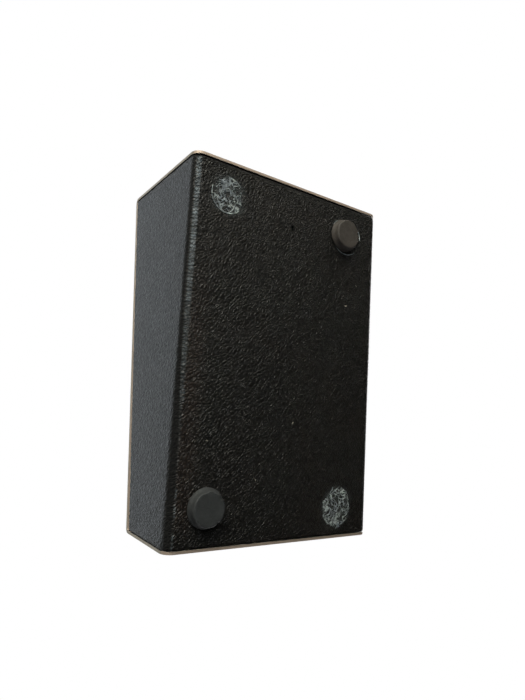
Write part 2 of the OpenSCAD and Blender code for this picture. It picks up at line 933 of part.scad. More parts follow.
// Screws through strap and board, each with its nut under the board
module transformer_screws() {
    color("silver")
        for (s = [-1, 1])
            translate([s * transformer_screw_x, core_y, 0]) {
                translate([0, 0, board_top_z + strap_t])
                    rotate([0, 0, 25 * s])
                        pan_screw(5);
                translate([0, 0, board_top_z - board_t - small_nut_h])
                    hex_nut(small_nut_flats, m3_r + 0.03, small_nut_h);
            }
}

// Axial resistors whose leads bend down into the board
module resistors() {
    axis_z = board_top_z + 1.6;
    end = resistor_pitch / 2;
    body_r = 1.1;
    cap_r = 1.3;
    color("burlywood")
        for (p = resistor_places)
            translate([p[0], p[1], 0]) {
                translate([0, 0, axis_z]) {
                    bar_y(body_r, -3, 3, 32);
                    for (e = [-1, 1])
                        translate([0, e * 2.6, 0])
                            bar_y(cap_r, -0.6, 0.6, 32);
                    bar_y(lead_r, -end, end, 16);
                }
                for (e = [-1, 1])
                    translate([0, e * end, 0]) {
                        bar_z(lead_r, board_top_z - board_t - lead_under, axis_z, 16);
                        translate([0, 0, axis_z])
                            sphere(r = lead_r, $fn = 16);
                    }
            }
}

// Film capacitor of the ground-lift network
module capacitor() {
    half = [2.4, 5];
    h = 8.5;
    color("firebrick")
        translate([capacitor_place[0], capacitor_place[1], board_top_z + 0.1]) {
            block([-half[0], -half[1], 0], [half[0], half[1], h]);
            for (e = [-1, 1])
                translate([0, e * capacitor_pitch / 2, 0])
                    bar_z(lead_r, -board_t - lead_under - 0.1, 0.1, 16);
        }
}

// ---- Ground lug and wires ----

module ground_lug() {
    y = rear_in_y - 0.02;
    eye_r = 3.2;
    tail_w = 3;
    color("gainsboro")
        difference() {
            union() {
                translate([lug_x, 0, lug_z])
                    bar_y(eye_r, y - lug_t, y);
                translate([0, 0, lug_z - tail_w / 2])
                    linear_extrude(tail_w)
                        polygon(strip([[lug_x - 2, y - lug_t / 2], [lug_x - 4.4, y - lug_t / 2],
                            [lug_end[0], lug_end[1]]], lug_t));
            }
            translate([lug_x, 0, lug_z])
                bar_y(m3_r + 0.1, y - 2, y + 1);
        }
}

// Green lead from the lug to the board
module ground_wire() {
    start = lug_end + [0, -0.1, 0];
    end = [-20, board_rear_y - 3, wire_low_z];
    color("green")
        wire(start, start + [-2, -12, 0], end + [0, 10, 8], end);
}

// Three leads from the XLR solder tails to the board
module xlr_wires() {
    landing_x = [-5, 5, -1.5];
    color("gray")
        for (i = [0 : 2]) {
            p = xlr_pin_places()[i];
            start = [p[0], xlr_tail_y + 1, xlr_z + p[1]];
            end = [landing_x[i], board_rear_y - 1.5, wire_low_z];
            wire(start, start + [0, -10, 0], end + [0, 6, 9], end);
        }
}

// Point at the hole of a switch terminal
function lug_point(y, x) =
    let (
        d = -chassis_t / cos(slope) - can_h - switch_base_t - 4.6,
        rise = front_h + (y - front_y) * tan(slope)
    )
    [x, y - d * sin(slope), base_z + rise + d * cos(slope)];

module lift_wires() {
    color("steelblue")
        for (x = [lift_poles[0], lift_poles[1]]) {
            start = lug_point(lift_y, x) + [0, 0, -wire_r];
            end = [x * 1.6 + 3, board_rear_y - 10.5, wire_low_z + 0.3];
            wire(start, start + [0, 1, -7], end + [0, 2, 7], end);
        }
}

module pad_wires() {
    color("gold")
        for (i = [0 : 3]) {
            x = pad_poles[i];
            start = lug_point(pad_y, x) + [0, 0, -wire_r];
            end = [x * 1.3, pad_y - 5, wire_low_z + 0.3];
            wire(start, start + [0, 1, -5], end + [0, 3, 5], end);
        }
}

cover();
cover_skin();
chassis();
foot_front_right();
foot_rear_left();
foot_adhesive();
jack_body(-jack_x);  // input_jack_body
jack_bushing(-jack_x);  // input_jack_bushing
jack_washer(-jack_x);  // input_jack_washer
jack_nut(-jack_x, 12);  // input_jack_nut
tip_spring(-jack_x);  // input_tip_spring
jack_contacts(-jack_x);  // input_jack_contacts
jack_body(jack_x);  // thru_jack_body
jack_bushing(jack_x);  // thru_jack_bushing
jack_washer(jack_x);  // thru_jack_washer
jack_nut(jack_x, 41);  // thru_jack_nut
tip_spring(jack_x);  // thru_tip_spring
jack_contacts(jack_x);  // thru_jack_contacts
xlr_shell();
xlr_insert();
xlr_pins();
xlr_screws();
xlr_nuts();
switch_frame(lift_y, lift_travel);  // lift_switch_frame
switch_base(lift_y, lift_poles);  // lift_switch_base
switch_slider(lift_y, -lift_travel / 2, lift_travel);  // lift_slider
switch_bridge(lift_y, -lift_travel / 2);  // lift_bridge
switch_terminals(lift_y, lift_poles);  // lift_terminals
switch_frame(pad_y, pad_travel);  // pad_switch_frame
switch_base(pad_y, pad_poles);  // pad_switch_base
switch_slider(pad_y, 0, pad_travel);  // pad_slider
switch_bridge(pad_y, 0);  // pad_bridge
switch_terminals(pad_y, pad_poles);  // pad_terminals
switch_screws();
circuit_board();
board_bracket();
board_screws();
transformer_core();
transformer_bobbin();
transformer_winding();
transformer_strap();
transformer_screws();
resistors();
capacitor();
ground_lug();
ground_wire();
xlr_wires();
lift_wires();
pad_wires();
cover_brackets();
cover_screws();
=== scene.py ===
import json
import math

import bpy
import numpy as np
from mathutils import Matrix, Vector


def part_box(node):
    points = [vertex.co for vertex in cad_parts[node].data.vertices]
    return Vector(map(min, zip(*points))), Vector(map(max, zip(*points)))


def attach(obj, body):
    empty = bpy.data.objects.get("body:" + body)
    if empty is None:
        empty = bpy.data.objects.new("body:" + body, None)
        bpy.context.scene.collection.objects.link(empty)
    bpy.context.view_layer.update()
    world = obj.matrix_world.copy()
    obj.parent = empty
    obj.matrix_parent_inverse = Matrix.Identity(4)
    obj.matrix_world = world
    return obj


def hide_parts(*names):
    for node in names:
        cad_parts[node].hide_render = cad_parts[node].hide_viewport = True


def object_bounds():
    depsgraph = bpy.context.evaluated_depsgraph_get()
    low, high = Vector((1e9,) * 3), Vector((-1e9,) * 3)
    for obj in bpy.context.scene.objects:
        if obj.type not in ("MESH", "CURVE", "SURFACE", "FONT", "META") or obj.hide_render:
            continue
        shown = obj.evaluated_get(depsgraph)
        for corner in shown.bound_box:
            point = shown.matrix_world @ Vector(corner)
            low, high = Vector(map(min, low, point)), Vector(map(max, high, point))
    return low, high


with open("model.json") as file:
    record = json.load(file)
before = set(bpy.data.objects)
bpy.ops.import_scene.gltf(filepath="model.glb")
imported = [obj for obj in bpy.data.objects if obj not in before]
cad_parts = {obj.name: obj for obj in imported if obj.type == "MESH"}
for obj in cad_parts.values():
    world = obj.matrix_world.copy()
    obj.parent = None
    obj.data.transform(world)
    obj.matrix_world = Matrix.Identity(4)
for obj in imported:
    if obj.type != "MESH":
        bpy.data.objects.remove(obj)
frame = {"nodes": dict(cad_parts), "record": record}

MM = 0.001
TOUCH = 0.02 * MM  # anything nearer counts as touching
GRID = 128  # cells each way before noise repeats
nodes = frame["nodes"]
cad_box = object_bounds()
case_low, case_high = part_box("chassis")
skin_low, skin_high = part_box("cover_skin")
length = case_high.y - case_low.y
middle_y = (case_low.y + case_high.y) / 2

# Vinyl skin
SKIN_T = 0.3 * MM
FOLD_R = 3 * MM  # outside radius of the two long folds
PITCH = 0.5 * MM  # between vertices across the underside and along Y
WALL_COLUMNS = 62  # of vertices up each wall
FOLD_COLUMNS = 14  # of vertices round each fold
FINE_ROWS = 3  # rows on a fold for each row elsewhere
INNER_STEP = 8  # lines of the outer face for each line of the inner one
RIB_PITCH = 1.2 * MM
GRAIN_TURN = (0, math.radians(35.3), math.radians(135))  # long axis towards -X, +Y, -Z
SIGNS = ("pale", "valley_shade", "pressed_shade", "brown")  # numbers stored for the skin's material: fold whitening with painted highlight, painted shade in the grain's valleys and in pressed places, and a brown tint
DEEPEST = 0.26 * MM  # no relief reaches through the skin
HOLE_HALF_W = 0.78 * MM
HOLE_HALF_L = 1.3 * MM
HOLE_COLUMNS, HOLE_ROWS = 1, 2  # lines each way from the hole's middle to its edge

# Feet and glue spots
FOOT_TIP_R = 5.5 * MM  # free face of a foot
SPOT_R = 6.2 * MM  # edge of a glue spot
LACE_PITCH = 0.115 * MM  # grid that the glue films are cut from

# Threads on the jack bushings
THREAD_PITCH = 0.8 * MM
THREAD_DEPTH = 0.32 * MM
BUSHING_BORE_R = 3.25 * MM

# Printed marks
LINE_W = 0.45 * MM
INK_FILM = 0.015 * MM
ARC_R = 9.4 * MM
ARROW_HALF = 3.5 * MM

# Lint on the underside: places as shares of the box's length from its +X, -Y corner, and each
# flake's half width, as a share of its size, and lift at its four stations
LINT_PLACES = ((0.355, 0.319), (0.242, 0.167), (0.09, 0.265), (0.575, 0.75), (0.535, 0.68))
LINT_STATIONS = ((0.1, 0.05 * MM), (0.42, 0.11 * MM), (0.3, 0.09 * MM), (0.12, 0.03 * MM))
LINT_T = 0.045 * MM

# Camera, from the +X, -Y, low corner of the case, as shares of the case's length
CAMERA_PLACE = (0.52087, 0.33244, -1.13602)
CAMERA_AIM = (-0.24047, 0.50890, 0)
CAMERA_ROLL = math.radians(3.43)
CAMERA_LENS = 26.39

# Soft lights as (name, place, size, power, colour), all facing the middle of the box
LIGHTS = (
    ("overhead", (0.35, 0.14, 0.95), 1.3, 5.1, (0.9, 0.99, 1.08)),
    ("front_key", (-0.5, -0.8, 0.6), 0.6, 7.0, (1, 1, 1)),
    ("front_low", (0.1, -1.0, 0.24), 0.8, 3.0, (1, 1, 1)),
    ("front_side", (-0.75, -0.85, 0.28), 0.5, 6.0, (1, 1, 1)),
    ("rear_fill", (-0.1, 1.0, 0.4), 0.7, 2.4, (1, 1, 1)),
    ("left_fill", (-0.95, 0.15, 0.5), 0.7, 6.0, (1, 1, 1)),
    ("under_right", (0.3, 0.34, -0.5), 0.22, 1.3, (0.94, 0.98, 1)),
    ("under_rear", (0.42, 0.66, -0.33), 0.3, 5.0, (1, 0.97, 0.82)),
    ("under_far", (-0.3, 0.8, -0.26), 0.24, 1.0, (1, 0.97, 0.85)),
)
FLOOR_HALF = 2.0
BACKDROP_R = 3.0


def middle(values):
    """Halfway between the least and the greatest."""
    return (min(values) + max(values)) / 2


def centre_of(node):
    """Middle of a CAD node's box, as x, y and z."""
    return [middle(pair) for pair in zip(*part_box(node))]


# ---- Smooth noise and cells on a sheet ----

def smooth(low, high, x):
    """0 below low, 1 above high, and a smooth step between."""
    t = np.clip((x - low) / (high - low), 0, 1)
    return t * t * (3 - 2 * t)


def noise(u, v, size, seed):
    """Smooth noise from -1 to 1 whose bumps are about size across."""
    grid = np.random.default_rng(seed).uniform(-1, 1, (GRID, GRID))
    a, b = u / size, v / size
    i, j = np.floor(a).astype(int), np.floor(b).astype(int)
    s, t = smooth(0, 1, a - i), smooth(0, 1, b - j)
    i0, i1, j0, j1 = i % GRID, (i + 1) % GRID, j % GRID, (j + 1) % GRID
    low = grid[i0, j0] * (1 - s) + grid[i1, j0] * s
    high = grid[i0, j1] * (1 - s) + grid[i1, j1] * s
    return low * (1 - t) + high * t


def layered(u, v, size, seed):
    """Noise with two finer layers on it."""
    fine = 0.5 * noise(u, v, size / 2, seed + 1)
    finest = 0.25 * noise(u, v, size / 4, seed + 2)
    return (noise(u, v, size, seed) + fine + finest) / 1.4


def cell_edges(u, v, size, seed):
    """0 on the lines between irregular cells of about that size, rising inside them."""
    jitter = np.random.default_rng(seed).random((GRID, GRID, 2))
    a, b = u / size, v / size
    i, j = np.floor(a).astype(int), np.floor(b).astype(int)
    near = np.full(a.shape, 9.0)
    second = near.copy()
    for di in (-1, 0, 1):
        for dj in (-1, 0, 1):
            point = jitter[(i + di) % GRID, (j + dj) % GRID]
            away = np.hypot(i + di + point[..., 0] - a, j + dj + point[..., 1] - b)
            second = np.minimum(second, np.maximum(near, away))
            near = np.minimum(near, away)
    return second - near


def diagonal(u, v, stretch):
    """The sheet's coordinates along and across the grain, which runs towards -X and +Y."""
    turn = math.sqrt(0.5)
    along, across = (v - u) * turn, (v + u) * turn
    return along / stretch, across


# ---- Meshes ----

def new_object(name, points, faces, material):
    """A smooth-shaded mesh object that rides on the case."""
    mesh = bpy.data.meshes.new(name)
    mesh.from_pydata([tuple(p) for p in points], [], faces)
    mesh.validate()
    mesh.shade_smooth()
    mesh.materials.append(material)
    made = bpy.data.objects.new(name, mesh)
    bpy.context.scene.collection.objects.link(made)
    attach(made, "case")
    return made


def paint(made, name, values):
    """Stores one number per vertex, for the material to read."""
    layer = made.data.attributes.new(name, "FLOAT", "POINT")
    layer.data.foreach_set("value", np.asarray(values, np.float32))


def turned_mesh(profile, sides, shape=None, hollow=False):
    """Points and faces of (radius, height) turned about Z. A hollow profile joins its two ends."""
    angle = np.linspace(0, 2 * math.pi, sides, endpoint=False)
    radius, height = (np.array(x)[:, None] for x in zip(*profile))
    radius, height = np.broadcast_arrays(radius, height + 0 * angle)
    turn = np.broadcast_to(angle, height.shape)
    if shape:
        radius, height = shape(radius, height, turn)
    points = np.stack([radius * np.cos(turn), radius * np.sin(turn), height], -1).reshape(-1, 3)
    rings = len(profile)
    last = (rings - 1) * sides
    faces = [] if hollow else [list(range(sides - 1, -1, -1)), list(range(last, last + sides))]
    for k in range(rings if hollow else rings - 1):
        for s in range(sides):
            t, up = (s + 1) % sides, (k + 1) % rings
            faces.append([k * sides + s, k * sides + t, up * sides + t, up * sides + s])
    return points, faces


# ---- Vinyl skin ----

def rim_height(y):
    """Height of the skin's upper edge near one end, from the CAD skin."""
    return max(v.co.z for v in nodes["cover_skin"].data.vertices if abs(v.co.y - y) < TOUCH)


def hole_centre():
    """Centre of the ragged hole: the only CAD vertices in the middle of the underside."""
    inside = [v.co for v in nodes["cover_skin"].data.vertices
              if v.co.z < skin_low.z + TOUCH
              and abs(v.co.x) < 3 * MM and abs(v.co.y - middle_y) < 0.45 * length]
    return sum(p.x for p in inside) / len(inside), sum(p.y for p in inside) / len(inside)


class Skin:
    """The U-shaped sheet, unrolled: columns go round the U and rows go along Y."""

    def __init__(self):
        self.flat = skin_high.x - FOLD_R
        self.rows = round((skin_high.y - skin_low.y) / PITCH)
        self.y = np.linspace(skin_low.y, skin_high.y, self.rows + 1)
        self.fine_y = np.linspace(skin_low.y, skin_high.y, self.rows * FINE_ROWS + 1)
        self.front_rim, self.rear_rim = rim_height(skin_low.y), rim_height(skin_high.y)
        self.columns = self.all_columns()
        self.hole_x, self.hole_y = hole_centre()

    def all_columns(self):
        """Columns as (turn round the fold, x on the flat, share of the wall), from left to right."""
        steps = round(self.flat / PITCH)
        flats = [(0, self.flat * k / steps, 0) for k in range(1, steps + 1)]
        folds = [(math.pi / 2 * k / FOLD_COLUMNS, self.flat, 0) for k in range(1, FOLD_COLUMNS + 1)]
        walls = [(math.pi / 2, self.flat, k / WALL_COLUMNS) for k in range(1, WALL_COLUMNS + 1)]
        half = flats + folds + walls
        mirrored = [(-turn, -x, share) for turn, x, share in reversed(half)]
        return mirrored + [(0, 0, 0)] + half

    def is_fine(self, column):
        """Columns on a fold have finer rows, for its ribs."""
        turn, _, share = self.columns[column]
        return turn != 0 and share == 0 and abs(turn) < math.pi / 2

    def place(self, column, y, depth):
        """Points of a column at the values of y, depth under the sheet's outer face."""
        turn, x, share = self.columns[column]
        side = math.copysign(1, turn) if turn else 0
        rim = np.interp(y, (skin_low.y, skin_high.y), (self.front_rim, self.rear_rim))
        wall = share * (rim - skin_low.z - FOLD_R)
        px = x + (FOLD_R - depth) * math.sin(turn)
        pz = skin_low.z + FOLD_R - (FOLD_R - depth) * math.cos(turn) + wall
        unrolled = x + FOLD_R * turn + side * wall
        return np.stack([px + 0 * y, y, pz + 0 * y], -1), unrolled + 0 * y


def rib_wave(y, turn):
    """1 on the crests of the fold's uneven ribs and 0 in the narrow lines between them."""
    across = FOLD_R * turn + 0 * y
    phase = y / RIB_PITCH + 0.5 * noise(y, across, 2.6 * MM, 31) + 0.3 * noise(y, 2 * across, 0.9 * MM, 32)
    return np.abs(np.sin(math.pi * phase)) ** 0.8 * (0.75 + 0.25 * noise(y, across, 1.3 * MM, 33))


def grain_depth(u, v, turn):
    """How far the leather grain, creases and slow waves go under the outer face."""
    a, b = diagonal(u, v, 1.7)
    a = a + 0.9 * MM * noise(u, v, 6 * MM, 1)
    b = b + 0.9 * MM * noise(u, v, 6 * MM, 2)
    pebbles = 1 - smooth(0.02, 0.5, cell_edges(a, b, 1.6 * MM, 3))
    long_a, long_b = diagonal(u, v, 3)
    crease_line = np.abs(layered(long_a + 0.8 * a, long_b, 4.2 * MM, 7))
    on_fold, on_wall = 0.1 <= abs(turn) <= 1.5, abs(turn) > 1.5
    creased = smooth(-0.1, 0.5, noise(u, v, 23 * MM, 11)) * (not on_fold)
    creases = (1 - smooth(0.0, 0.13, crease_line)) * creased
    patchy = 0.65 + 0.35 * noise(u, v, 9 * MM, 5)
    waves = 0.02 * MM * (1 + layered(u, v, 11 * MM, 17)) / 2
    relief = 0.13 * MM * pebbles * patchy * (0.8 if on_wall else 1) + 0.08 * MM * creases + waves
    return np.maximum(relief, 0)


def share_along(y):
    """0 at the case's low end and 1 at its tall end."""
    return (y - case_low.y) / length


def fold_mask(y, turn):
    """1 on the ribbed part of a fold, fading out towards both faces and weaker at the low end."""
    along = share_along(y)
    across = smooth(0.0, 0.25, np.abs(turn)) * (1 - smooth(0.75, 1.05, np.abs(turn)))
    return across * (0.5 + 0.5 * smooth(0.35, 0.65, along))


def fold_whitening_and_painted_highlight(y, turn):
    """Stress-whitening of the right fold, with painted highlight: the band is strongest at the tall end and
    fades towards the low end as a reflected light would, and a few painted glints sit at the low end.
    """
    along = share_along(y)
    band = smooth(0.1, 0.28, turn) * (1 - smooth(0.62, 0.85, turn))
    fade = 0.02 + 0.3 * smooth(0.25, 0.45, along) + 0.68 * smooth(0.5, 0.72, along)
    patch = 0.75 + 0.25 * noise(y, 0 * y, 2.5 * MM, 41)
    edge = smooth(0.0, 0.08, turn) * (1 - smooth(0.2, 0.34, turn)) * (1 - smooth(0.5, 0.65, along))
    glints = 0.4 * edge * smooth(0.15, 0.5, noise(y, 0 * y, 2.8 * MM, 43))
    return np.maximum(band * fade * patch, glints) * (0.04 + 0.96 * rib_wave(y, turn) ** 1.7)


def pressed_shade(y, turn):
    """1 in the pressed line where a fold meets its wall, which is also painted near-black as shade. It is
    wider at the low end.
    """
    along = share_along(y)
    start = 0.22 + 0.64 * smooth(0.15, 0.65, along)
    stop = 1.02 + 0.18 * smooth(0.15, 0.65, along)
    return smooth(start, start + 0.14, np.abs(turn)) * (1 - smooth(stop, stop + 0.16, np.abs(turn)))


def pressed_and_shaded_places(skin, u, y, turn):
    """1 where the vinyl is pressed down and painted dark as shade: grooves, the hole's rim and the tall
    end's edge.
    """
    from_hole = np.hypot((u - skin.hole_x) / 0.6, y - skin.hole_y)
    rim = 1 - smooth(1.4 * MM, 1.95 * MM, from_hole)
    tall_edge = (1 - smooth(0.4 * MM, 0.75 * MM, skin_high.y - y)) * (np.abs(turn) < 0.9)
    return np.maximum(pressed_shade(y, turn), np.maximum(rim, tall_edge))


def brown_zone(u, y, flat):
    """Warm rubbed zone on the underside beside the right fold, from the middle to the low end."""
    along = share_along(y)
    beside = smooth(flat - 8 * MM, flat - 1.5 * MM, u) * (1 - smooth(flat, flat + 1.2 * MM, u))
    return 0.75 * beside * smooth(0.0, 0.12, along) * (1 - smooth(0.5, 0.75, along))


def edge_round(y):
    """Depth that rounds the skin off towards its two cut ends."""
    away = np.minimum(y - skin_low.y, skin_high.y - y)
    return 0.1 * MM * (1 - smooth(0, 0.6 * MM, away))


def skin_columns(skin):
    """Points, attributes and vertex numbers of the outer face, column by column."""
    points, marks, numbers, count = [], [], [], 0
    for c, (turn, _, _) in enumerate(skin.columns):
        y = skin.fine_y if skin.is_fine(c) else skin.y
        _, u = skin.place(c, y, 0)
        mask, pressed = fold_mask(y, turn), pressed_and_shaded_places(skin, u, y, turn)
        ribs = 0.16 * MM * mask * (1 - rib_wave(y, turn)) * (1 if turn > 0 else 0.6)
        grain = grain_depth(u, y, turn) * (1 - 0.7 * mask) * (1 - 0.8 * pressed)
        depth = np.minimum(grain + ribs + edge_round(y) + 0.1 * MM * pressed, DEEPEST)
        where, _ = skin.place(c, y, depth)
        points.append(where)
        # The first number is fold whitening with painted highlight. The second and third are painted shade
        # in the grain's valleys and in pressed places.
        signs = (fold_whitening_and_painted_highlight(y, turn), grain / (0.2 * MM), pressed, brown_zone(u, y, skin.flat))
        marks.append(np.stack(signs, -1))
        numbers.append(np.arange(count, count + len(y)))
        count += len(y)
    return points, marks, numbers


def faces_between(left, right, rows):
    """Faces that join two neighbouring columns, which may have different numbers of rows."""
    a, b = (len(left) - 1) // rows, (len(right) - 1) // rows
    faces = []
    for i in range(rows):
        if a == b:
            for k in range(i * a, i * a + a):
                faces.append([left[k], right[k], right[k + 1], left[k + 1]])
        else:
            down = list(left[i * a:i * a + a + 1])
            up = list(right[i * b:i * b + b + 1])
            faces.append(down[:1] + up + down[:0:-1])
    return faces


def hole_block(skin):
    """Columns and rows of the outer face that bound the hole."""
    centre = len(skin.columns) // 2 + round(skin.hole_x / PITCH)
    row = int(np.argmin(np.abs(skin.y - skin.hole_y)))
    return centre - HOLE_COLUMNS, centre + HOLE_COLUMNS, row - HOLE_ROWS, row + HOLE_ROWS


def hole_outline(angle):
    """Radius of the ragged hole towards an angle."""
    ellipse = 1 / np.hypot(np.cos(angle) / HOLE_HALF_W, np.sin(angle) / HOLE_HALF_L)
    return ellipse * (1 + 0.13 * np.sin(3 * angle + 0.6) + 0.1 * np.sin(5 * angle))


def inner_lines(count, step, kept):
    """Every step-th line of the outer face, with the kept ones and none between those."""
    low, high = kept
    lines = set(range(0, count, step)) | {count - 1, low, high}
    return sorted(n for n in lines if not low < n < high)


def shrink_hole(points, skin, block):
    """Moves the vertices round the hole's block onto its ragged outline."""
    c0, c1, r0, r1 = block
    for c in range(c0, c1 + 1):
        for r in range(r0, r1 + 1):
            if c in (c0, c1) or r in (r0, r1):
                p = points[c][r]
                angle = math.atan2(p[1] - skin.hole_y, p[0] - skin.hole_x)
                radius = hole_outline(angle)
                p[0] = skin.hole_x + radius * math.cos(angle)
                p[1] = skin.hole_y + radius * math.sin(angle)


def outer_faces(numbers, rows, block):
    """Faces of the outer face, with the hole's block left open."""
    c0, c1, r0, r1 = block
    faces = []
    for c in range(len(numbers) - 1):
        strip = faces_between(numbers[c], numbers[c + 1], rows)
        faces += strip[:r0] + strip[r1:] if c0 <= c < c1 else strip
    return faces


def inner_grid(skin, block, first):
    """Columns, rows, points and vertex numbers of the inner face. Its first vertex is first."""
    c0, c1, r0, r1 = block
    count = len(skin.columns)
    on_folds = {c for c in range(count) if skin.is_fine(c) and c % 2}
    columns = sorted(set(inner_lines(count, INNER_STEP, (c0, c1))) | on_folds)
    rows = inner_lines(skin.rows + 1, INNER_STEP, (r0, r1))
    points, number = [], {}
    for c in columns:
        where, _ = skin.place(c, skin.y, SKIN_T)
        for r in rows:
            number[c, r] = first + len(number)
            points.append(where[r:r + 1])
    return columns, rows, points, number


def inner_faces(skin, columns, rows, number, outer, block):
    """Faces of the inner face, and of the cut edges that join it to the outer one."""
    faces = []
    for a, b in zip(columns, columns[1:]):
        for p, q in zip(rows, rows[1:]):
            if (a, p) != (block[0], block[2]):
                faces.append([number[a, p], number[a, q], number[b, q], number[b, p]])
        for r, way in ((0, 1), (skin.rows, -1)):
            edge = [number[a, r], number[b, r]] + [outer(c, r) for c in range(b, a - 1, -1)]
            faces.append(edge[::way])
    for p, q in zip(rows, rows[1:]):
        for c, way in ((0, -1), (len(skin.columns) - 1, 1)):
            edge = [number[c, p], number[c, q]] + [outer(c, r) for r in range(q, p - 1, -1)]
            faces.append(edge[::way])
    return faces


def hole_walls(number, outer, block):
    """Walls of the hole between the outer and inner faces."""
    c0, c1, r0, r1 = block
    columns, rows = list(range(c0, c1 + 1)), list(range(r0, r1 + 1))
    walls = []
    for r, way in ((r0, -1), (r1, 1)):
        walls.append(([number[c0, r], number[c1, r]] + [outer(c, r) for c in columns[::-1]])[::way])
    for c, way in ((c0, 1), (c1, -1)):
        walls.append(([number[c, r0], number[c, r1]] + [outer(c, r) for r in rows[::-1]])[::way])
    return walls


def vinyl_mesh(skin):
    """The skin as one closed shell: a grained outer face, a plain inner face and its edges."""
    points, marks, numbers = skin_columns(skin)
    block = hole_block(skin)
    shrink_hole(points, skin, block)
    total = sum(len(n) for n in numbers)
    columns, rows, inner, number = inner_grid(skin, block, total)

    def outer(c, r):
        return numbers[c][r * (len(numbers[c]) - 1) // skin.rows]

    faces = outer_faces(numbers, skin.rows, block)
    faces += inner_faces(skin, columns, rows, number, outer, block)
    faces += hole_walls(number, outer, block)
    marks.append(np.zeros((len(inner), len(SIGNS))))
    return np.concatenate(points + inner), faces, np.concatenate(marks)


def glue_places():
    """Centres of the four glue spots, from the CAD feet and adhesive: with a foot first, then bare."""
    feet = [centre_of(name)[:2] for name in ("foot_front_right", "foot_rear_left")]
    bare = []
    for sx, sy in ((1, 1), (-1, -1)):
        spot = [v.co for v in nodes["foot_adhesive"].data.vertices
                if v.co.x * sx > 0 and (v.co.y - middle_y) * sy > 0]
        bare.append((middle([p.x for p in spot]), middle([p.y for p in spot])))
    return feet, bare


def haze(points, places):
    """Faint film of glue left round each spot."""
    total = np.zeros(len(points))
    for k, (x, y) in enumerate(places):
        away = np.hypot(points[:, 0] - x, points[:, 1] - y)
        cloud = 0.5 + 0.5 * layered(points[:, 0], points[:, 1], 2.2 * MM, 51 + k)
        total += (1 - smooth(SPOT_R, 1.35 * SPOT_R, away)) * cloud
    return total * (points[:, 2] < skin_low.z + 0.25 * MM)


def make_vinyl():
    """The vinyl skin, with its looks stored as numbers on its vertices."""
    skin = Skin()
    points, faces, marks = vinyl_mesh(skin)
    made = new_object("vinyl_skin", points, faces, vinyl())
    for k, sign in enumerate(SIGNS):
        paint(made, sign, marks[:, k])
    paint(made, "haze", haze(points, glue_places()[1]))
    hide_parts("cover_skin")


# ---- Feet ----

def foot_profile(height):
    """Closed outline of a foot as (radius, height over its free face)."""
    rim = [(FOOT_TIP_R - 0.45 * MM + 0.5 * MM * math.sin(a), 0.5 * MM * (1 - math.cos(a)))
           for a in np.linspace(0, math.radians(75), 9)]
    dish = [(0.6 * MM, 0.07 * MM), (1.5 * MM, 0.07 * MM), (3 * MM, 0.06 * MM), (4 * MM, 0.03 * MM),
            (4.45 * MM, 0.01 * MM)]
    wall = [(FOOT_TIP_R + 0.08 * MM + 0.6 * MM * t * t, 0.5 * MM + (height - 1.1 * MM) * t)
            for t in np.linspace(0.1, 1, 8)]
    base = [(6.34 * MM, height - 0.35 * MM), (6.35 * MM, height - 0.05 * MM), (6.28 * MM, height),
            (3 * MM, height), (0.6 * MM, height)]
    return dish + rim + wall + base


def worn(radius, height, turn, nicks, seed):
    """Small dents in the moulding, and nicks as (angle, depth, width) in the rim."""
    x, y = radius * np.cos(turn), radius * np.sin(turn)
    dents = 0.03 * MM * np.abs(layered(x + height, y + height, 2.4 * MM, seed))
    rim = np.exp(-((radius - FOOT_TIP_R) / (0.7 * MM)) ** 2) * np.exp(-(height / (0.9 * MM)) ** 2)
    for angle, depth, width in nicks:
        away = np.abs((turn - angle + math.pi) % (2 * math.pi) - math.pi)
        dents = dents + depth * rim * np.exp(-(away / width) ** 2)
    return radius - dents * (radius > MM), np.maximum(height, 0) + dents * (height < 1.5 * MM)


def make_foot(node, material, nicks, seed):
    """A moulded foot in the place of its CAD solid, with its free face down."""
    low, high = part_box(node)
    points, faces = turned_mesh(foot_profile(high.z - low.z), 120,
                                lambda r, h, t: worn(r, h, t, nicks, seed))
    points += [*centre_of(node)[:2], low.z]
    made = new_object(node + "_moulding", points, [f[::-1] for f in faces], material)
    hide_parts(node)


def make_feet():
    """The two feet that are left. They differ in colour and in wear."""
    make_foot("foot_front_right", rubber("rubber_slate", (0.052, 0.056, 0.058), 0.08),
              [(math.radians(140), 0.28 * MM, 0.09), (math.radians(232), 0.2 * MM, 0.07)], 61)
    make_foot("foot_rear_left", rubber("rubber_brown", (0.082, 0.071, 0.062), 0.1),
              [(math.radians(165), 0.35 * MM, 0.1), (math.radians(190), 0.22 * MM, 0.12)], 71)


# ---- Glue left on the vinyl ----

def strands(x, y, seed):
    """Ridges of pulled glue: 1 on thin wandering lines and 0 between them."""
    sway_x = x + 0.9 * MM * noise(x, y, 2.6 * MM, seed + 8)
    sway_y = y + 0.9 * MM * noise(x, y, 2.6 * MM, seed + 9)
    a, b = diagonal(sway_x, sway_y, 1.6)
    lines = np.zeros(x.shape)
    for k, size in enumerate((1.7, 1.2, 0.85, 0.6)):
        ridge = 1 - smooth(0.0, 0.19, np.abs(noise(a, b, size * MM, seed + k)))
        lines = np.maximum(lines, ridge * (1 - 0.08 * k))
    return lines


def glue_map(x, y, seed, spread, ring_r):
    """How much glue is left at a point, from a spot's centre. spread is its outline (x, y, radius)."""
    away = np.hypot(x / spread[0], y / spread[1]) / spread[2]
    angle = np.arctan2(y, x)
    ring = np.exp(-((np.hypot(x, y) - ring_r) / (0.2 * MM)) ** 2)
    ring = ring * smooth(-0.1, 0.4, noise(angle * MM, 0 * x, 0.7 * MM, seed + 20))
    clump = 0.82 + 0.45 * layered(x, y, 2.6 * MM, seed + 30)
    body = strands(x, y, seed) * clump * (1 - smooth(0.72, 1.05, away))
    return np.maximum(body, ring)


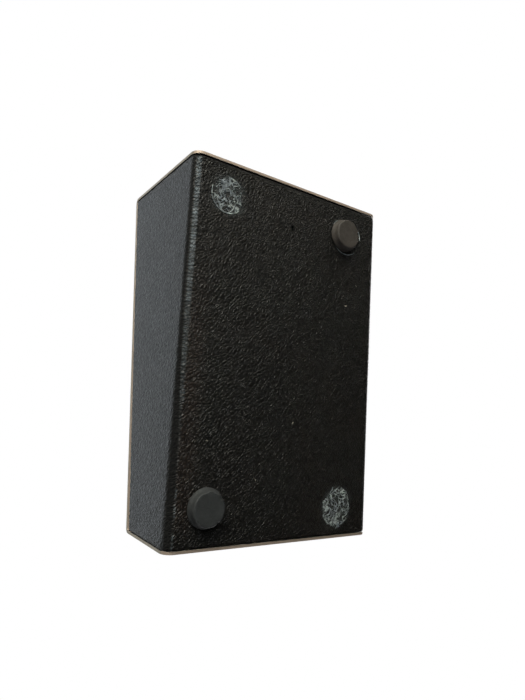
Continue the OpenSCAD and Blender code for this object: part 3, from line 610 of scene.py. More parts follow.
def lace(centre, seed, spread, level, ring_r):
    """A thin film with open holes: the cells of a fine grid where enough glue is left."""
    half = 1.1 * spread[2] * max(spread[:2])
    n = int(2 * half / LACE_PITCH)
    line = np.linspace(-half, half, n)
    x, y = np.meshgrid(line, line, indexing="ij")
    amount = glue_map(x, y, seed, spread, ring_r)
    sizes = 0.012 * MM + 0.06 * MM * smooth(level, 1, amount)
    kept = amount[:-1, :-1] > level
    points, faces, number = [], [], {}

    def corner(i, j, side):
        if (i, j, side) not in number:
            number[i, j, side] = len(points)
            z = case_low.z + 0.06 * MM if side else case_low.z - sizes[i, j]
            points.append((centre[0] + x[i, j], centre[1] + y[i, j], z))
        return number[i, j, side]

    for i, j in zip(*np.nonzero(kept)):
        square = [(i, j), (i, j + 1), (i + 1, j + 1), (i + 1, j)]
        faces.append([corner(*p, 0) for p in square])
        faces.append([corner(*p, 1) for p in square[::-1]])
        for k, (di, dj) in enumerate(((-1, 0), (0, 1), (1, 0), (0, -1))):
            ni, nj = i + di, j + dj
            if not (0 <= ni < n - 1 and 0 <= nj < n - 1) or not kept[ni, nj]:
                p, q = square[k], square[(k + 1) % 4]
                faces.append([corner(*q, 0), corner(*p, 0), corner(*p, 1), corner(*q, 1)])
    return points, faces


def make_glue():
    """Glue films at the two bare spots, and round the bases of the two feet."""
    feet, bare = glue_places()
    material = glue()
    rear_foot = (feet[1][0] - 1.6 * MM, feet[1][1] + 0.2 * MM)
    front_spot = (bare[1][0] + 0.2 * MM, bare[1][1] - 0.7 * MM)
    spots = [("glue_rear_right", bare[0], 81, (0.93, 1.1, 6.8 * MM), 0.42, 6.2 * MM),
             ("glue_front_left", front_spot, 91, (1.04, 1.14, 7.6 * MM), 0.51, 6.6 * MM),
             ("glue_under_front_foot", feet[0], 101, (1, 1, 5.4 * MM), 0.4, 5.8 * MM),
             ("glue_under_rear_foot", rear_foot, 111, (1, 1, 6.9 * MM), 0.45, 7.3 * MM)]
    for name, centre, seed, spread, level, ring_r in spots:
        points, faces = lace(centre, seed, spread, level, ring_r)
        made = new_object(name, points, faces, material)
        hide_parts("foot_adhesive")


# ---- Threads on the jack bushings ----

def make_bushing(node):
    """Bushing with a cut thread, in the place of the CAD bushing."""
    low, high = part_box(node)
    flange_r = (high.x - low.x) / 2
    outer_r, bore_r = flange_r - 1.5 * MM, BUSHING_BORE_R
    total, flange_t = high.y - low.y, 0.98 * MM
    thread_l = total - flange_t - 0.2 * MM
    steps = round(thread_l / (THREAD_PITCH / 8))
    thread = [(outer_r, flange_t + 0.1 * MM + thread_l * k / steps) for k in range(steps + 1)]
    flange = [(bore_r, 0), (flange_r - 0.1 * MM, 0), (flange_r, 0.1 * MM), (flange_r, flange_t),
              (outer_r - THREAD_DEPTH, flange_t)]
    nose = [(outer_r - 0.6 * MM, total), (bore_r + 0.4 * MM, total), (bore_r, total - 0.4 * MM)]

    def cut(radius, height, turn):
        wave = np.abs(((height / THREAD_PITCH + turn / (2 * math.pi)) % 1) * 2 - 1)
        on_thread = (np.abs(radius - outer_r) < TOUCH) & (height > flange_t)
        lead_in = smooth(0, 0.6 * MM, total - height)
        return np.where(on_thread, radius - THREAD_DEPTH * (1 - lead_in * wave), radius), height

    points, faces = turned_mesh(flange + thread + nose, 72, cut, hollow=True)
    centre_x, _, centre_z = centre_of(node)
    placed = np.stack([centre_x + points[:, 0], high.y - points[:, 2], centre_z + points[:, 1]], -1)
    made = new_object(node + "_threaded", placed, faces, MATERIALS["nickel"])
    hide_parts(node)


# ---- Printed marks on the chassis ----

def panel_place():
    """A point of the sloping panel and its normal, from the chassis's largest upward face."""
    faces = [f for f in nodes["chassis"].data.polygons if f.normal.z > 0.9 and f.center.z > case_high.z / 2]
    face = max(faces, key=lambda f: f.area)
    return face.center.copy(), face.normal.copy()


def on_panel(x, y, lift):
    """The point of the sloping panel over (x, y), lifted along its normal."""
    point, normal = panel_place()
    z = point.z - ((x - point.x) * normal.x + (y - point.y) * normal.y) / normal.z
    return Vector((x, y, z)) + normal * lift


def on_front(x, z, lift):
    """The point (x, z) of the front end plate, lifted off it."""
    return Vector((x, case_low.y - lift, z))


def on_rear(x, z, lift):
    """The point (x, z) of the rear end plate, lifted off it."""
    return Vector((x, case_high.y + lift, z))


def printed_line(path, place):
    """Points and faces of a thin film of ink along a path of a face."""
    path = [Vector(p) for p in path]
    points = []
    for i, p in enumerate(path):
        ahead = path[min(i + 1, len(path) - 1)] - path[max(i - 1, 0)]
        across = Vector((-ahead.y, ahead.x)).normalized() * LINE_W / 2
        for side, lift in ((1, INK_FILM), (-1, INK_FILM), (-1, -INK_FILM), (1, -INK_FILM)):
            q = p + side * across
            points.append(place(q.x, q.y, lift))
    faces = [[3, 2, 1, 0], [len(points) - 4, len(points) - 3, len(points) - 2, len(points) - 1]]
    for i in range(len(path) - 1):
        for k in range(4):
            a, b = 4 * i + k, 4 * i + (k + 1) % 4
            faces.append([a, b, b + 4, a + 4])
    return points, faces


def arc_path(x, y, start, stop):
    """An arc about a jack, between two angles in degrees."""
    angles = np.linspace(math.radians(start), math.radians(stop), 25)
    return [(x + ARC_R * math.cos(a), y + ARC_R * math.sin(a)) for a in angles]


def switch_marks(node, positions):
    """Ticks beside a switch, one for each of its slider's places."""
    x, y, _ = centre_of(node)
    ticks = [[(x + at, y + 5 * MM), (x + at, y + 7.5 * MM)] for at in positions]
    bar = [(x + positions[0], y + 7.5 * MM), (x + positions[-1], y + 7.5 * MM)]
    return ticks + [bar]


def ground_mark(x, y):
    """The general symbol for earth: a stem over three bars, each shorter than the last."""
    bars = [[(x - half, y - k * 1.1 * MM), (x + half, y - k * 1.1 * MM)]
            for k, half in enumerate((2.4 * MM, 1.6 * MM, 0.8 * MM))]
    return bars + [[(x, y), (x, y + 2.6 * MM)]]


def arrow_mark(x, y):
    """A plain arrow towards +x."""
    tip, back, barb = x + ARROW_HALF, x + 0.4 * ARROW_HALF, 0.45 * ARROW_HALF
    return [[(x - ARROW_HALF, y), (tip, y)], [(back, y + barb), (tip, y), (back, y - barb)]]


def make_print():
    """Generic printed lines: a border and switch marks on the panel, arcs and arrows on the plates."""
    inset_x, inset_y = case_high.x - 4 * MM, 4.5 * MM
    low_y, high_y = case_low.y + inset_y, case_high.y - inset_y
    corners = ((-1, low_y), (1, low_y), (1, high_y), (-1, high_y), (-1, low_y))
    border = [(side * inset_x, y) for side, y in corners]
    lift_y = centre_of("lift_switch_frame")[1]
    panel = [border] + switch_marks("lift_switch_frame", (-2 * MM, 2 * MM))
    panel += switch_marks("pad_switch_frame", (-3 * MM, 0, 3 * MM)) + ground_mark(-24 * MM, lift_y)
    jack_x, _, jack_z = centre_of("input_jack_nut")
    front = [arc_path(side * jack_x, jack_z, 20, 160) for side in (-1, 1)]
    front += arrow_mark(0, jack_z)
    beside_shell = (case_high.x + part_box("xlr_shell")[1].x) / 2
    rear = arrow_mark(beside_shell, centre_of("xlr_shell")[2])
    points, faces = [], []
    for paths, place in ((panel, on_panel), (front, on_front), (rear, on_rear)):
        for path in paths:
            more, joined = printed_line(path, place)
            faces += [[n + len(points) for n in f] for f in joined]
            points += more
    new_object("panel_print", points, faces, ink("screen_print"))


# ---- Dust ----

def lint_flake(x, y, angle, size):
    """Points of a flake that bends along its spine: four at each station, upper and lower."""
    along = Vector((math.cos(angle), math.sin(angle), 0))
    across = Vector((-math.sin(angle), math.cos(angle), 0))
    points = []
    for k, (half, lift) in enumerate(LINT_STATIONS):
        spine = Vector((x, y, skin_low.z)) + along * size * (k / 1.5 - 1)
        spine += across * size * 0.3 * math.sin(2 * k)
        for side in (-1, 1):
            for drop in (0, LINT_T):
                points.append(spine + across * side * size * half + Vector((0, 0, drop - lift)))
    return points


def lint_faces(first):
    """Faces of the flake whose points start at first."""
    faces = []
    for a in range(first, first + 12, 4):
        for p, q in ((0, 1), (1, 3), (3, 2), (2, 0)):
            faces.append([a + p, a + q, a + q + 4, a + p + 4])
    last = first + 12
    return faces + [[first, first + 2, first + 3, first + 1], [last, last + 1, last + 3, last + 2]]


def make_dust():
    """Bent flakes of lint on the underside."""
    rng = np.random.default_rng(5)
    points, faces = [], []
    for share_x, share_y in LINT_PLACES:
        x, y = case_high.x - share_x * length, case_low.y + share_y * length
        angle, size = rng.uniform(0, math.pi), rng.uniform(0.34, 0.6) * MM
        faces += lint_faces(len(points))
        points += lint_flake(x, y, angle, size)
    new_object("lint", points, faces, lint())


# ---- Materials ----

class Shader:
    """A Principled material, and short calls that build its nodes."""

    def __init__(self, name, roughness=0.5, **constants):
        self.material = bpy.data.materials.new(name)
        self.material.use_nodes = True
        self.tree = self.material.node_tree
        self.main = next(n for n in self.tree.nodes if n.type == "BSDF_PRINCIPLED")
        self.main.inputs["Roughness"].default_value = roughness
        for key, value in constants.items():
            self.main.inputs[key.replace("_", " ")].default_value = value
        self.where = self.node("TexCoord").outputs["Object"]
        self.normal = None

    def node(self, kind, inputs=None, **settings):
        """Adds a shader node, with its inputs linked or set and its settings set."""
        made = self.tree.nodes.new("ShaderNode" + kind)
        for key, value in settings.items():
            setattr(made, key, value)
        for key, value in (inputs or {}).items():
            if isinstance(value, bpy.types.NodeSocket):
                self.tree.links.new(value, made.inputs[key])
            else:
                made.inputs[key].default_value = value
        return made

    def scaled(self, sizes, turn=(0, 0, 0)):
        """Coordinates over sizes along turned axes: a texture of scale 1 then has bumps that big."""
        inputs = {"Vector": self.where, "Scale": list(sizes), "Rotation": turn}
        return self.node("Mapping", inputs, vector_type="TEXTURE").outputs[0]

    def noise(self, size, detail=3.0, stretch=(1, 1, 1), warp=0.0):
        """Smooth noise from about 0.2 to 0.8 whose bumps are about size across."""
        where = self.scaled([size * s for s in stretch])
        inputs = {"Vector": where, "Scale": 1.0, "Detail": detail, "Distortion": warp}
        return self.node("TexNoise", inputs).outputs["Fac"]

    def cells(self, size, stretch, warp, turn):
        """Distance from the edges of irregular cells, which are swayed by warp and turned."""
        where = self.scaled([size * s for s in stretch], turn)
        sway = self.node("TexNoise", {"Vector": where, "Scale": 0.8, "Detail": 1.0})
        swayed = {0: sway.outputs["Color"], 1: (warp,) * 3, 2: where}
        where = self.node("VectorMath", swayed, operation="MULTIPLY_ADD").outputs[0]
        inputs = {"Vector": where, "Scale": 1.0}
        made = self.node("TexVoronoi", inputs, feature="DISTANCE_TO_EDGE")
        return made.outputs["Distance"]

    def ramp(self, value, low, high, to_low=0.0, to_high=1.0):
        """The value's way from low to high, as a number from to_low to to_high."""
        values = {"Value": value, "From Min": low, "From Max": high, "To Min": to_low, "To Max": to_high}
        return self.node("MapRange", values).outputs["Result"]

    def math(self, operation, a, b=0.0):
        """A sum, product or the like of two numbers, kept from 0 to 1."""
        return self.node("Math", {0: a, 1: b}, operation=operation, use_clamp=True).outputs[0]

    def mix(self, factor, a, b):
        """Colour a where factor is 0 and b where it is 1."""
        made = self.node("Mix", data_type="RGBA")
        for socket, value in ((made.inputs[0], factor), (made.inputs[6], a), (made.inputs[7], b)):
            if isinstance(value, bpy.types.NodeSocket):
                self.tree.links.new(value, socket)
            elif isinstance(value, float):
                socket.default_value = value
            else:
                socket.default_value = (*value, 1)
        return made.outputs[2]

    def mottled(self, size, detail, low, high, a, b):
        """Patches about size across, from colour a where the noise is low to b where it is high."""
        return self.mix(self.ramp(self.noise(size, detail), low, high), a, b)

    def worn_colour(self, colour, worn_edge, amount, rubbed):
        """Sets the base colour, with some of the rubbed colour on worn edges."""
        self.set(Base_Color=self.mix(self.math("MULTIPLY", worn_edge, amount), colour, rubbed))

    def patchy_roughness(self, size, low, high, detail=3.0):
        """Sets a roughness that wanders between low and high in patches about size across."""
        self.set(Roughness=self.ramp(self.noise(size, detail), 0.3, 0.7, low, high))

    def attribute(self, name):
        """The number that paint() stored on the mesh under that name."""
        return self.node("Attribute", attribute_name=name).outputs["Fac"]

    def true_normal(self):
        """The mesh's own normal, without bevel or bump."""
        return self.node("NewGeometry").outputs["Normal"]

    def facing(self, axis):
        """How much the surface faces along an axis, either way."""
        parts = self.node("SeparateXYZ", {"Vector": self.true_normal()})
        return self.math("ABSOLUTE", parts.outputs[axis])

    def soft_edges(self, radius):
        """Rounds edges in the shading, and gives a mask that is 1 on them."""
        bevel = self.node("Bevel", {"Radius": radius}, samples=4)
        self.normal = bevel.outputs[0]
        both = {0: bevel.outputs[0], 1: self.true_normal()}
        dot = self.node("VectorMath", both, operation="DOT_PRODUCT").outputs["Value"]
        return self.ramp(dot, 0.995, 0.86)

    def bump(self, height, depth):
        """Adds relief that is depth high where height goes from 0 to 1."""
        inputs = {"Height": height, "Distance": depth, "Strength": 1.0}
        if self.normal:
            inputs["Normal"] = self.normal
        self.normal = self.node("Bump", inputs).outputs["Normal"]

    def set(self, **sockets):
        """Links node outputs to the Principled shader's sockets."""
        for key, value in sockets.items():
            self.tree.links.new(value, self.main.inputs[key.replace("_", " ")])

    def done(self):
        """The finished material."""
        if self.normal:
            self.set(Normal=self.normal)
        return self.material


def vinyl():
    """Black leather-grain vinyl: satin, with painted shade in its valleys and pressed places, and whitened
    on the fold with some painted highlight.
    """
    s = Shader("vinyl", Specular_IOR_Level=0.4)
    slow, patch = s.noise(24 * MM, 2.0), s.noise(7 * MM, 4.0)
    tint = s.mix(s.ramp(slow, 0.35, 0.65), (0.0115, 0.0085, 0.006), (0.0085, 0.0087, 0.0062))
    tint = s.mix(s.ramp(patch, 0.3, 0.75), tint, (0.0095, 0.0085, 0.0078))
    grain = s.cells(0.95 * MM, (1.9, 1, 1), 0.7, GRAIN_TURN)
    fine = s.cells(0.45 * MM, (1.6, 1, 1), 0.6, GRAIN_TURN)
    tops = s.ramp(grain, 0.02, 0.3)
    tint = s.mix(s.ramp(s.noise(0.55 * MM, 3.0), 0.55, 0.75, 0.0, 0.55), tint, (0.022, 0.024, 0.021))
    tint = s.mix(s.attribute("brown"), tint, (0.03, 0.02, 0.015))
    valley_shade = s.attribute("valley_shade")
    # Painted shade: darker the deeper the grain goes, and darker still in the lines between the pebbles.
    tint = s.mix(s.ramp(valley_shade, 0.25, 1.0, 0.0, 0.7), tint, (0.003, 0.0028, 0.0026))
    tint = s.mix(s.ramp(tops, 0.0, 0.5, 0.75, 0.0), tint, (0.002, 0.002, 0.002))
    # Pale stress-whitening on the fold's rib crests, with painted highlight in the band's fading and in its
    # glints.
    tint = s.mix(s.attribute("pale"), tint, (0.32, 0.38, 0.42))
    # Painted shade: near-black in the pressed groove, round the hole's rim and along the tall end's edge.
    tint = s.mix(s.attribute("pressed_shade"), tint, (0.0015, 0.0015, 0.0015))
    tint = s.mix(s.ramp(s.attribute("haze"), 0.0, 1.0, 0.0, 0.6), tint, (0.055, 0.066, 0.07))
    s.set(Base_Color=tint)
    polish = s.ramp(s.noise(1.1 * MM, 3.0), 0.3, 0.7, 0.36, 0.52)
    s.set(Roughness=s.math("ADD", polish, s.math("MULTIPLY", s.attribute("pressed_shade"), 0.4)))
    s.bump(tops, 0.2 * MM)
    s.bump(s.ramp(fine, 0.0, 0.3), 0.03 * MM)
    s.bump(s.noise(0.3 * MM, 3.0), 0.014 * MM)
    return s.done()


def rubber(name, colour, dust):
    """Moulded rubber with a dusty bloom, paler on its worn rim."""
    s = Shader(name, Specular_IOR_Level=0.35)
    worn_edge = s.soft_edges(0.35 * MM)
    mottled = s.mottled(2.6 * MM, 4.0, 0.3, 0.7, colour, tuple(0.72 * c for c in colour))
    dusty = s.mix(s.ramp(s.noise(0.5 * MM, 5.0), 0.52, 0.75, 0.0, 0.5), mottled, (dust,) * 3)
    s.worn_colour(dusty, worn_edge, 0.4, tuple(2.2 * c for c in colour))
    s.patchy_roughness(1.2 * MM, 0.5, 0.72)
    s.bump(s.noise(0.25 * MM, 3.0), 0.012 * MM)
    return s.done()


def glue():
    """Dried adhesive: pale, patchy and a little glossy."""
    s = Shader("dried_glue", Specular_IOR_Level=0.5)
    pale = s.mottled(1.2 * MM, 4.0, 0.38, 0.62, (0.1, 0.12, 0.12), (0.5, 0.56, 0.55))
    blue = s.ramp(s.noise(5 * MM, 2.0), 0.4, 0.6, 0.0, 0.5)
    s.set(Base_Color=s.mix(blue, pale, (0.2, 0.225, 0.27)))
    s.patchy_roughness(0.6 * MM, 0.35, 0.65, 2.0)
    s.bump(s.noise(0.3 * MM, 3.0), 0.03 * MM)
    return s.done()


def lint():
    """Pale fibrous dust."""
    s = Shader("lint", 0.9)
    fibres = s.noise(0.06 * MM, 3.0, (1, 5, 1))
    s.set(Base_Color=s.mix(s.ramp(fibres, 0.3, 0.7), (0.3, 0.26, 0.2), (0.5, 0.47, 0.4)))
    s.bump(fibres, 0.02 * MM)
    return s.done()


def brushed_aluminium(name):
    """Sheet brushed along its length before it was bent, with bare sheared edges, those facing down painted
    paler as painted highlight.
    """
    s = Shader(name, Metallic=1.0)
    worn_edge = s.soft_edges(0.12 * MM)
    lines = s.noise(0.09 * MM, 4.0, (1, 110, 110))
    broad = s.noise(14 * MM, 3.0)
    face = s.mix(s.ramp(lines, 0.3, 0.7), (0.46, 0.45, 0.42), (0.66, 0.64, 0.6))
    face = s.mix(s.ramp(broad, 0.35, 0.7, 0.0, 0.25), face, (0.52, 0.5, 0.46))
    under = s.ramp(s.node("SeparateXYZ", {"Vector": s.true_normal()}).outputs["Z"], -0.2, -0.5)
    cut = s.math("MAXIMUM", s.ramp(s.facing("X"), 0.25, 0.5), under)
    shear_and_painted_light = s.mix(s.noise(0.12 * MM, 3.0, (1, 4, 1)), (0.36, 0.32, 0.26), (0.54, 0.48, 0.4))
    # Painted highlight: cut edges that face down are mixed towards pale beige.
    shear_and_painted_light = s.mix(s.math("MULTIPLY", under, 0.7), shear_and_painted_light, (0.8, 0.66, 0.56))
    colour = s.mix(cut, face, shear_and_painted_light)
    s.worn_colour(colour, worn_edge, 0.5, (0.5, 0.47, 0.42))
    rough = s.ramp(lines, 0.25, 0.75, 0.28, 0.48)
    s.set(Roughness=s.math("ADD", rough, s.math("MULTIPLY", s.math("MAXIMUM", cut, worn_edge), 0.34)))
    s.bump(lines, 0.006 * MM)
    return s.done()


def plated(name, dark, light, rough, size=3 * MM):
    """Plated metal with faint stains, fine scratches and bright worn edges."""
    s = Shader(name, Metallic=1.0)
    worn_edge = s.soft_edges(0.12 * MM)
    stain = s.ramp(s.noise(size, 4.0, warp=0.6), 0.32, 0.72)
    scratch = s.ramp(s.noise(0.14 * MM, 2.0, (1, 14, 5)), 0.62, 0.8)
    colour = s.mix(stain, dark, light)
    s.worn_colour(colour, worn_edge, 0.5, tuple(min(1, 1.15 * c) for c in light))
    rough_now = s.ramp(s.noise(2.4 * MM, 2.0), 0.3, 0.7, rough - 0.02, rough + 0.05)
    s.set(Roughness=s.math("ADD", rough_now, s.math("MULTIPLY", scratch, 0.15)))
    s.bump(s.noise(0.9 * MM, 1.0), 0.0008 * MM)
    return s.done()


def moulded(name, dark, light, rough, grain=0.22 * MM, depth=0.01 * MM):
    """Moulded plastic with a fine spark-eroded grain and paler rubbed edges."""
    s = Shader(name, Specular_IOR_Level=0.45)
    worn_edge = s.soft_edges(0.15 * MM)
    colour = s.mottled(4 * MM, 3.0, 0.3, 0.7, dark, light)
    s.worn_colour(colour, worn_edge, 0.45, tuple(min(1, 1.6 * c + 0.01) for c in light))
    s.patchy_roughness(0.9 * MM, rough - 0.08, rough + 0.08)
    s.bump(s.noise(grain, 3.0), depth)
    return s.done()


def primer(name):
    """Sprayed dark primer with orange peel and thin rubbed edges."""
    s = Shader(name, Specular_IOR_Level=0.4)
    worn_edge = s.soft_edges(0.2 * MM)
    colour = s.mottled(9 * MM, 4.0, 0.35, 0.7, (0.011, 0.011, 0.012), (0.019, 0.019, 0.018))
    s.worn_colour(colour, worn_edge, 0.35, (0.12, 0.11, 0.1))
    s.patchy_roughness(1.5 * MM, 0.45, 0.65, 2.0)
    s.bump(s.noise(0.7 * MM, 2.0), 0.02 * MM)
    return s.done()


def phenolic(name):
    """Paper laminate: brown, with short fibres and darker pressed layers."""
    s = Shader(name, Specular_IOR_Level=0.45)
    fibres = s.noise(0.12 * MM, 4.0, (9, 1, 3), warp=0.4)
    colour = s.mix(s.ramp(fibres, 0.35, 0.65), (0.13, 0.05, 0.018), (0.27, 0.12, 0.045))
    s.set(Base_Color=s.mix(s.ramp(s.noise(2 * MM), 0.4, 0.7, 0.0, 0.4), colour, (0.09, 0.035, 0.014)))
    s.set(Roughness=s.ramp(fibres, 0.3, 0.7, 0.42, 0.6))
    s.bump(fibres, 0.008 * MM)
    return s.done()


def board(name):
    """Green solder mask over copper tracks, with bare glass-fibre edges."""
    s = Shader(name, Specular_IOR_Level=0.5)
    sizes = {"Vector": s.scaled([1, 1, 1]), "Scale": 1.0, "Mortar Size": 0.45 * MM,
             "Brick Width": 9 * MM, "Row Height": 3.4 * MM}
    colours = {"Color1": (0, 0, 0, 1), "Color2": (0, 0, 0, 1), "Mortar": (1, 1, 1, 1)}
    bricks = s.node("TexBrick", {**sizes, **colours}).outputs["Color"]
    weave = s.noise(0.4 * MM, 2.0, (1, 1, 4))
    mask = s.mix(s.ramp(weave, 0.3, 0.7), (0.012, 0.075, 0.03), (0.02, 0.11, 0.045))
    face = s.mix(bricks, mask, (0.035, 0.2, 0.075))
    edge = s.mix(s.noise(0.1 * MM, 2.0, (1, 1, 0.4)), (0.3, 0.27, 0.12), (0.45, 0.42, 0.22))
    s.set(Base_Color=s.mix(s.ramp(s.facing("Z"), 0.3, 0.6), edge, face))
    s.set(Roughness=s.ramp(weave, 0.3, 0.7, 0.22, 0.36))
    s.bump(bricks, 0.03 * MM)
    return s.done()


def laminations(name):
    """Stacked steel sheets: thin dark lines across Y, with rust in places."""
    s = Shader(name, Metallic=0.85)
    sheets = s.node("TexWave", {"Vector": s.scaled([1, 1, 1]), "Scale": 0.16 / MM / math.pi * 2,
                    "Distortion": 0.15, "Detail": 1.0}, bands_direction="Y").outputs["Fac"]
    steel = s.mix(s.ramp(sheets, 0.1, 0.35), (0.05, 0.048, 0.045), (0.33, 0.32, 0.31))
    rust = s.ramp(s.noise(2.2 * MM, 5.0), 0.6, 0.75, 0.0, 0.6)
    s.set(Base_Color=s.mix(rust, steel, (0.16, 0.06, 0.025)))
    s.patchy_roughness(0.6 * MM, 0.38, 0.62)
    s.bump(s.ramp(sheets, 0.1, 0.35), 0.03 * MM)
    return s.done()


def wound_tape(name):
    """Amber tape wound round the coil, with its laps showing."""
    s = Shader(name, Specular_IOR_Level=0.55)
    laps = s.node("TexWave", {"Vector": s.scaled([1, 1, 1]), "Scale": 0.05 / MM, "Distortion": 0.4,
                  "Detail": 1.0}, bands_direction="Z", wave_profile="SAW").outputs["Fac"]
    colour = s.mix(s.ramp(laps, 0.0, 0.9), (0.42, 0.2, 0.035), (0.62, 0.34, 0.07))
    s.set(Base_Color=s.mix(s.ramp(s.noise(1.4 * MM), 0.45, 0.7, 0.0, 0.35), colour, (0.3, 0.12, 0.02)))
    s.patchy_roughness(0.7 * MM, 0.16, 0.34)
    s.bump(laps, 0.05 * MM)
    return s.done()


def banded_resistor(name):
    """Lacquered bodies with colour bands, and tinned leads beyond their ends."""
    s = Shader(name)
    centre = centre_of("resistors")[1]
    along = s.node("SeparateXYZ", {"Vector": s.where}).outputs["Y"]
    along = s.ramp(along, centre - 3.4 * MM, centre + 3.4 * MM)
    bands = s.node("ValToRGB", {"Fac": along})
    body, tin = (0.5, 0.36, 0.2), (0.6, 0.6, 0.58)
    stops = [(0, tin), (0.04, body), (0.16, (0.05, 0.02, 0.01)), (0.24, body), (0.34, (0.01, 0.01, 0.01)),
             (0.42, body), (0.5, (0.55, 0.05, 0.02)), (0.58, body), (0.76, (0.5, 0.33, 0.06)), (0.84, body),
             (0.96, tin)]
    bands.color_ramp.interpolation = "CONSTANT"
    for k, (at, colour) in enumerate(stops):
        stop = bands.color_ramp.elements[k] if k < 2 else bands.color_ramp.elements.new(at)
        stop.position, stop.color = at, (*colour, 1)
    shade = s.ramp(s.noise(0.6 * MM, 3.0), 0.3, 0.7, 0.0, 0.3)
    s.set(Base_Color=s.mix(shade, bands.outputs["Color"], (0.12, 0.08, 0.05)))
    s.patchy_roughness(0.5 * MM, 0.2, 0.38)
    s.bump(s.noise(0.3 * MM, 2.0), 0.01 * MM)
    return s.done()


def ink(name):
    """Screen-printed ink with a slightly uneven film."""
    s = Shader(name, Specular_IOR_Level=0.4)
    s.set(Base_Color=s.mottled(0.5 * MM, 4.0, 0.4, 0.7, (0.012, 0.012, 0.014), (0.03, 0.03, 0.032)))
    s.patchy_roughness(0.3 * MM, 0.4, 0.6)
    s.bump(s.noise(0.2 * MM, 2.0), 0.004 * MM)
    return s.done()


MATERIALS = {
    "cover_steel": primer("cover_primer"),
    "chassis_aluminium": brushed_aluminium("brushed_aluminium"),
    "jack_plastic": moulded("black_nylon", (0.008, 0.008, 0.009), (0.014, 0.014, 0.015), 0.45),
    "nickel": plated("nickel_plate", (0.56, 0.54, 0.5), (0.72, 0.7, 0.66), 0.2),
    "zinc_steel": plated("zinc_plate", (0.56, 0.58, 0.6), (0.66, 0.66, 0.63), 0.38, 5 * MM),
    "contact_brass": plated("phosphor_bronze", (0.6, 0.36, 0.15), (0.8, 0.56, 0.27), 0.24),
    "silver_pins": plated("silver_plate", (0.6, 0.58, 0.52), (0.84, 0.82, 0.78), 0.2),
    "screw_steel": plated("screw_zinc", (0.42, 0.43, 0.44), (0.62, 0.62, 0.6), 0.3, 1.2 * MM),
    "phenolic": phenolic("phenolic_paper"),
    "slider_plastic": moulded("slider_nylon", (0.009, 0.009, 0.01), (0.017, 0.017, 0.018), 0.4),
    "board_laminate": board("solder_mask"),
    "core_steel": laminations("core_laminations"),
    "bobbin_nylon": moulded("natural_nylon", (0.5, 0.46, 0.36), (0.64, 0.6, 0.48), 0.42),
    "winding_tape": wound_tape("winding_tape"),
    "resistor_body": banded_resistor("resistor_lacquer"),
    "capacitor_case": moulded("dipped_film", (0.2, 0.03, 0.015), (0.32, 0.05, 0.025), 0.26,
                              0.7 * MM, 0.03 * MM),
    "wire_green": moulded("green_pvc", (0.012, 0.1, 0.03), (0.02, 0.15, 0.045), 0.34),
    "wire_grey": moulded("grey_pvc", (0.1, 0.1, 0.105), (0.16, 0.16, 0.165), 0.36),
    "wire_blue": moulded("blue_pvc", (0.012, 0.035, 0.15), (0.02, 0.055, 0.22), 0.34),
    "wire_yellow": moulded("yellow_pvc", (0.42, 0.28, 0.02), (0.56, 0.4, 0.035), 0.34),
}


def dress_cad_nodes():
    """Gives each CAD node that stays the material of its slot."""
    for part in frame["record"]["subparts"]:
        material = MATERIALS.get(part["material_slot"])
        if material:
            mesh = nodes[part["node"]].data
            mesh.materials.clear()
            mesh.materials.append(material)


# ---- Stage, lights and camera ----

def stage_object(name, points, faces, material):
    """A thing of the stage that only the camera sees."""
    mesh = bpy.data.meshes.new(name)
    mesh.from_pydata(points, [], faces)
    mesh.shade_smooth()
    mesh.materials.append(material)
    made = bpy.data.objects.new(name, mesh)
    bpy.context.scene.collection.objects.link(made)
    made.visible_diffuse = made.visible_glossy = made.visible_transmission = made.visible_shadow = False


def floor_material():
    """Pale matt floor, glowing a little. It is clear from below, where the main view looks up."""
    s = Shader("pale_floor", 0.9, Specular_IOR_Level=0.1, Emission_Strength=0.5,
               Emission_Color=(0.9, 0.9, 0.89, 1))
    s.set(Base_Color=s.mix(s.noise(0.05, 3.0), (0.44, 0.44, 0.43), (0.47, 0.47, 0.46)))
    s.bump(s.noise(0.002, 3.0), 0.02 * MM)
    s.done()
    clear = s.node("BsdfTransparent").outputs[0]
    under = s.node("NewGeometry").outputs["Backfacing"]
    both = s.node("MixShader", {0: under, 1: s.main.outputs[0], 2: clear}).outputs[0]
    out = next(n for n in s.tree.nodes if n.type == "OUTPUT_MATERIAL")
    s.tree.links.new(both, out.inputs["Surface"])
    return s.material


def white_material():
    """Plain white that needs no light."""
    material = bpy.data.materials.new("white_backdrop")
    material.use_nodes = True
    tree = material.node_tree
    tree.nodes.clear()
    light = tree.nodes.new("ShaderNodeEmission")
    out = tree.nodes.new("ShaderNodeOutputMaterial")
    tree.links.new(light.outputs[0], out.inputs["Surface"])
    return material


def add_stage():
    """A pale square floor just under the box, and a white ball round everything."""
    corners = ((-1, -1), (1, -1), (1, 1), (-1, 1))
    square = [(FLOOR_HALF * x, FLOOR_HALF * y, -TOUCH) for x, y in corners]
    stage_object("floor", square, [[0, 1, 2, 3]], floor_material())
    angles = np.linspace(0.001, math.pi - 0.001, 24)
    arc = [(BACKDROP_R * math.sin(a), -BACKDROP_R * math.cos(a)) for a in angles]
    points, faces = turned_mesh(arc, 48)
    stage_object("backdrop", [tuple(p) for p in points], faces, white_material())


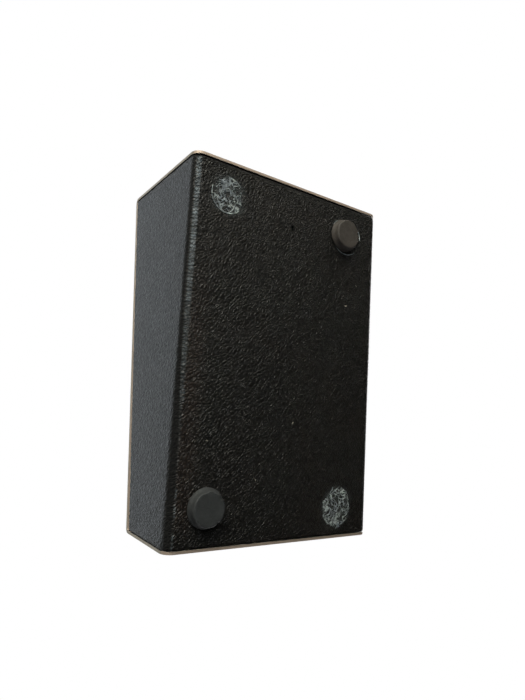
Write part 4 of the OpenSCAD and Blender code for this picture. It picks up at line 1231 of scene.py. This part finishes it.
def softbox(name, place, size, power, colour, aim):
    """A square area light at place that faces aim."""
    data = bpy.data.lights.new(name, "AREA")
    data.shape, data.size, data.energy, data.color = "SQUARE", size, power, colour
    made = bpy.data.objects.new(name, data)
    bpy.context.scene.collection.objects.link(made)
    made.location = place
    made.rotation_euler = (Vector(place) - Vector(aim)).to_track_quat("Z", "Y").to_euler()
    made.visible_camera = False


def add_lights():
    """The soft lights, and a sky that is brighter towards its top."""
    centre = (cad_box[0] + cad_box[1]) / 2
    for light in LIGHTS:
        softbox(*light, centre)
    world = bpy.data.worlds.new("studio")
    world.use_nodes = True
    tree = world.node_tree
    sky = tree.nodes["Background"]
    sky.inputs["Color"].default_value = (1, 1, 0.92, 1)
    where = tree.nodes.new("ShaderNodeTexCoord")
    parts = tree.nodes.new("ShaderNodeSeparateXYZ")
    upper = tree.nodes.new("ShaderNodeMapRange")
    strength = {"From Min": 0.05, "From Max": 0.6, "To Min": 0.03, "To Max": 0.22}
    for key, value in strength.items():
        upper.inputs[key].default_value = value
    tree.links.new(where.outputs["Generated"], parts.inputs[0])
    tree.links.new(parts.outputs["Z"], upper.inputs["Value"])
    tree.links.new(upper.outputs["Result"], sky.inputs["Strength"])
    bpy.context.scene.world = world
    bpy.context.scene.view_settings.view_transform = "Standard"


def add_camera():
    """The photograph's viewpoint: below the box, past its right side, rolled a little."""
    data = bpy.data.cameras.new("camera")
    data.lens, data.sensor_width, data.clip_start = CAMERA_LENS, 36, 0.005
    made = bpy.data.objects.new("camera", data)
    bpy.context.scene.collection.objects.link(made)
    corner = Vector((case_high.x, case_low.y, case_low.z))
    place = corner + length * Vector(CAMERA_PLACE)
    aim = corner + length * Vector(CAMERA_AIM)
    back = (place - aim).normalized()
    right = Vector((0, 1, 0)).cross(back).normalized()
    turn = Matrix((right, back.cross(right), back)).transposed()
    turn = turn @ Matrix.Rotation(CAMERA_ROLL, 3, "Z")
    made.matrix_world = Matrix.Translation(place) @ turn.to_4x4()
    bpy.context.scene.camera = made


add_camera()
add_lights()
add_stage()
dress_cad_nodes()
make_vinyl()
make_feet()
make_glue()
make_bushing("input_jack_bushing")
make_bushing("thru_jack_bushing")
make_print()
make_dust()
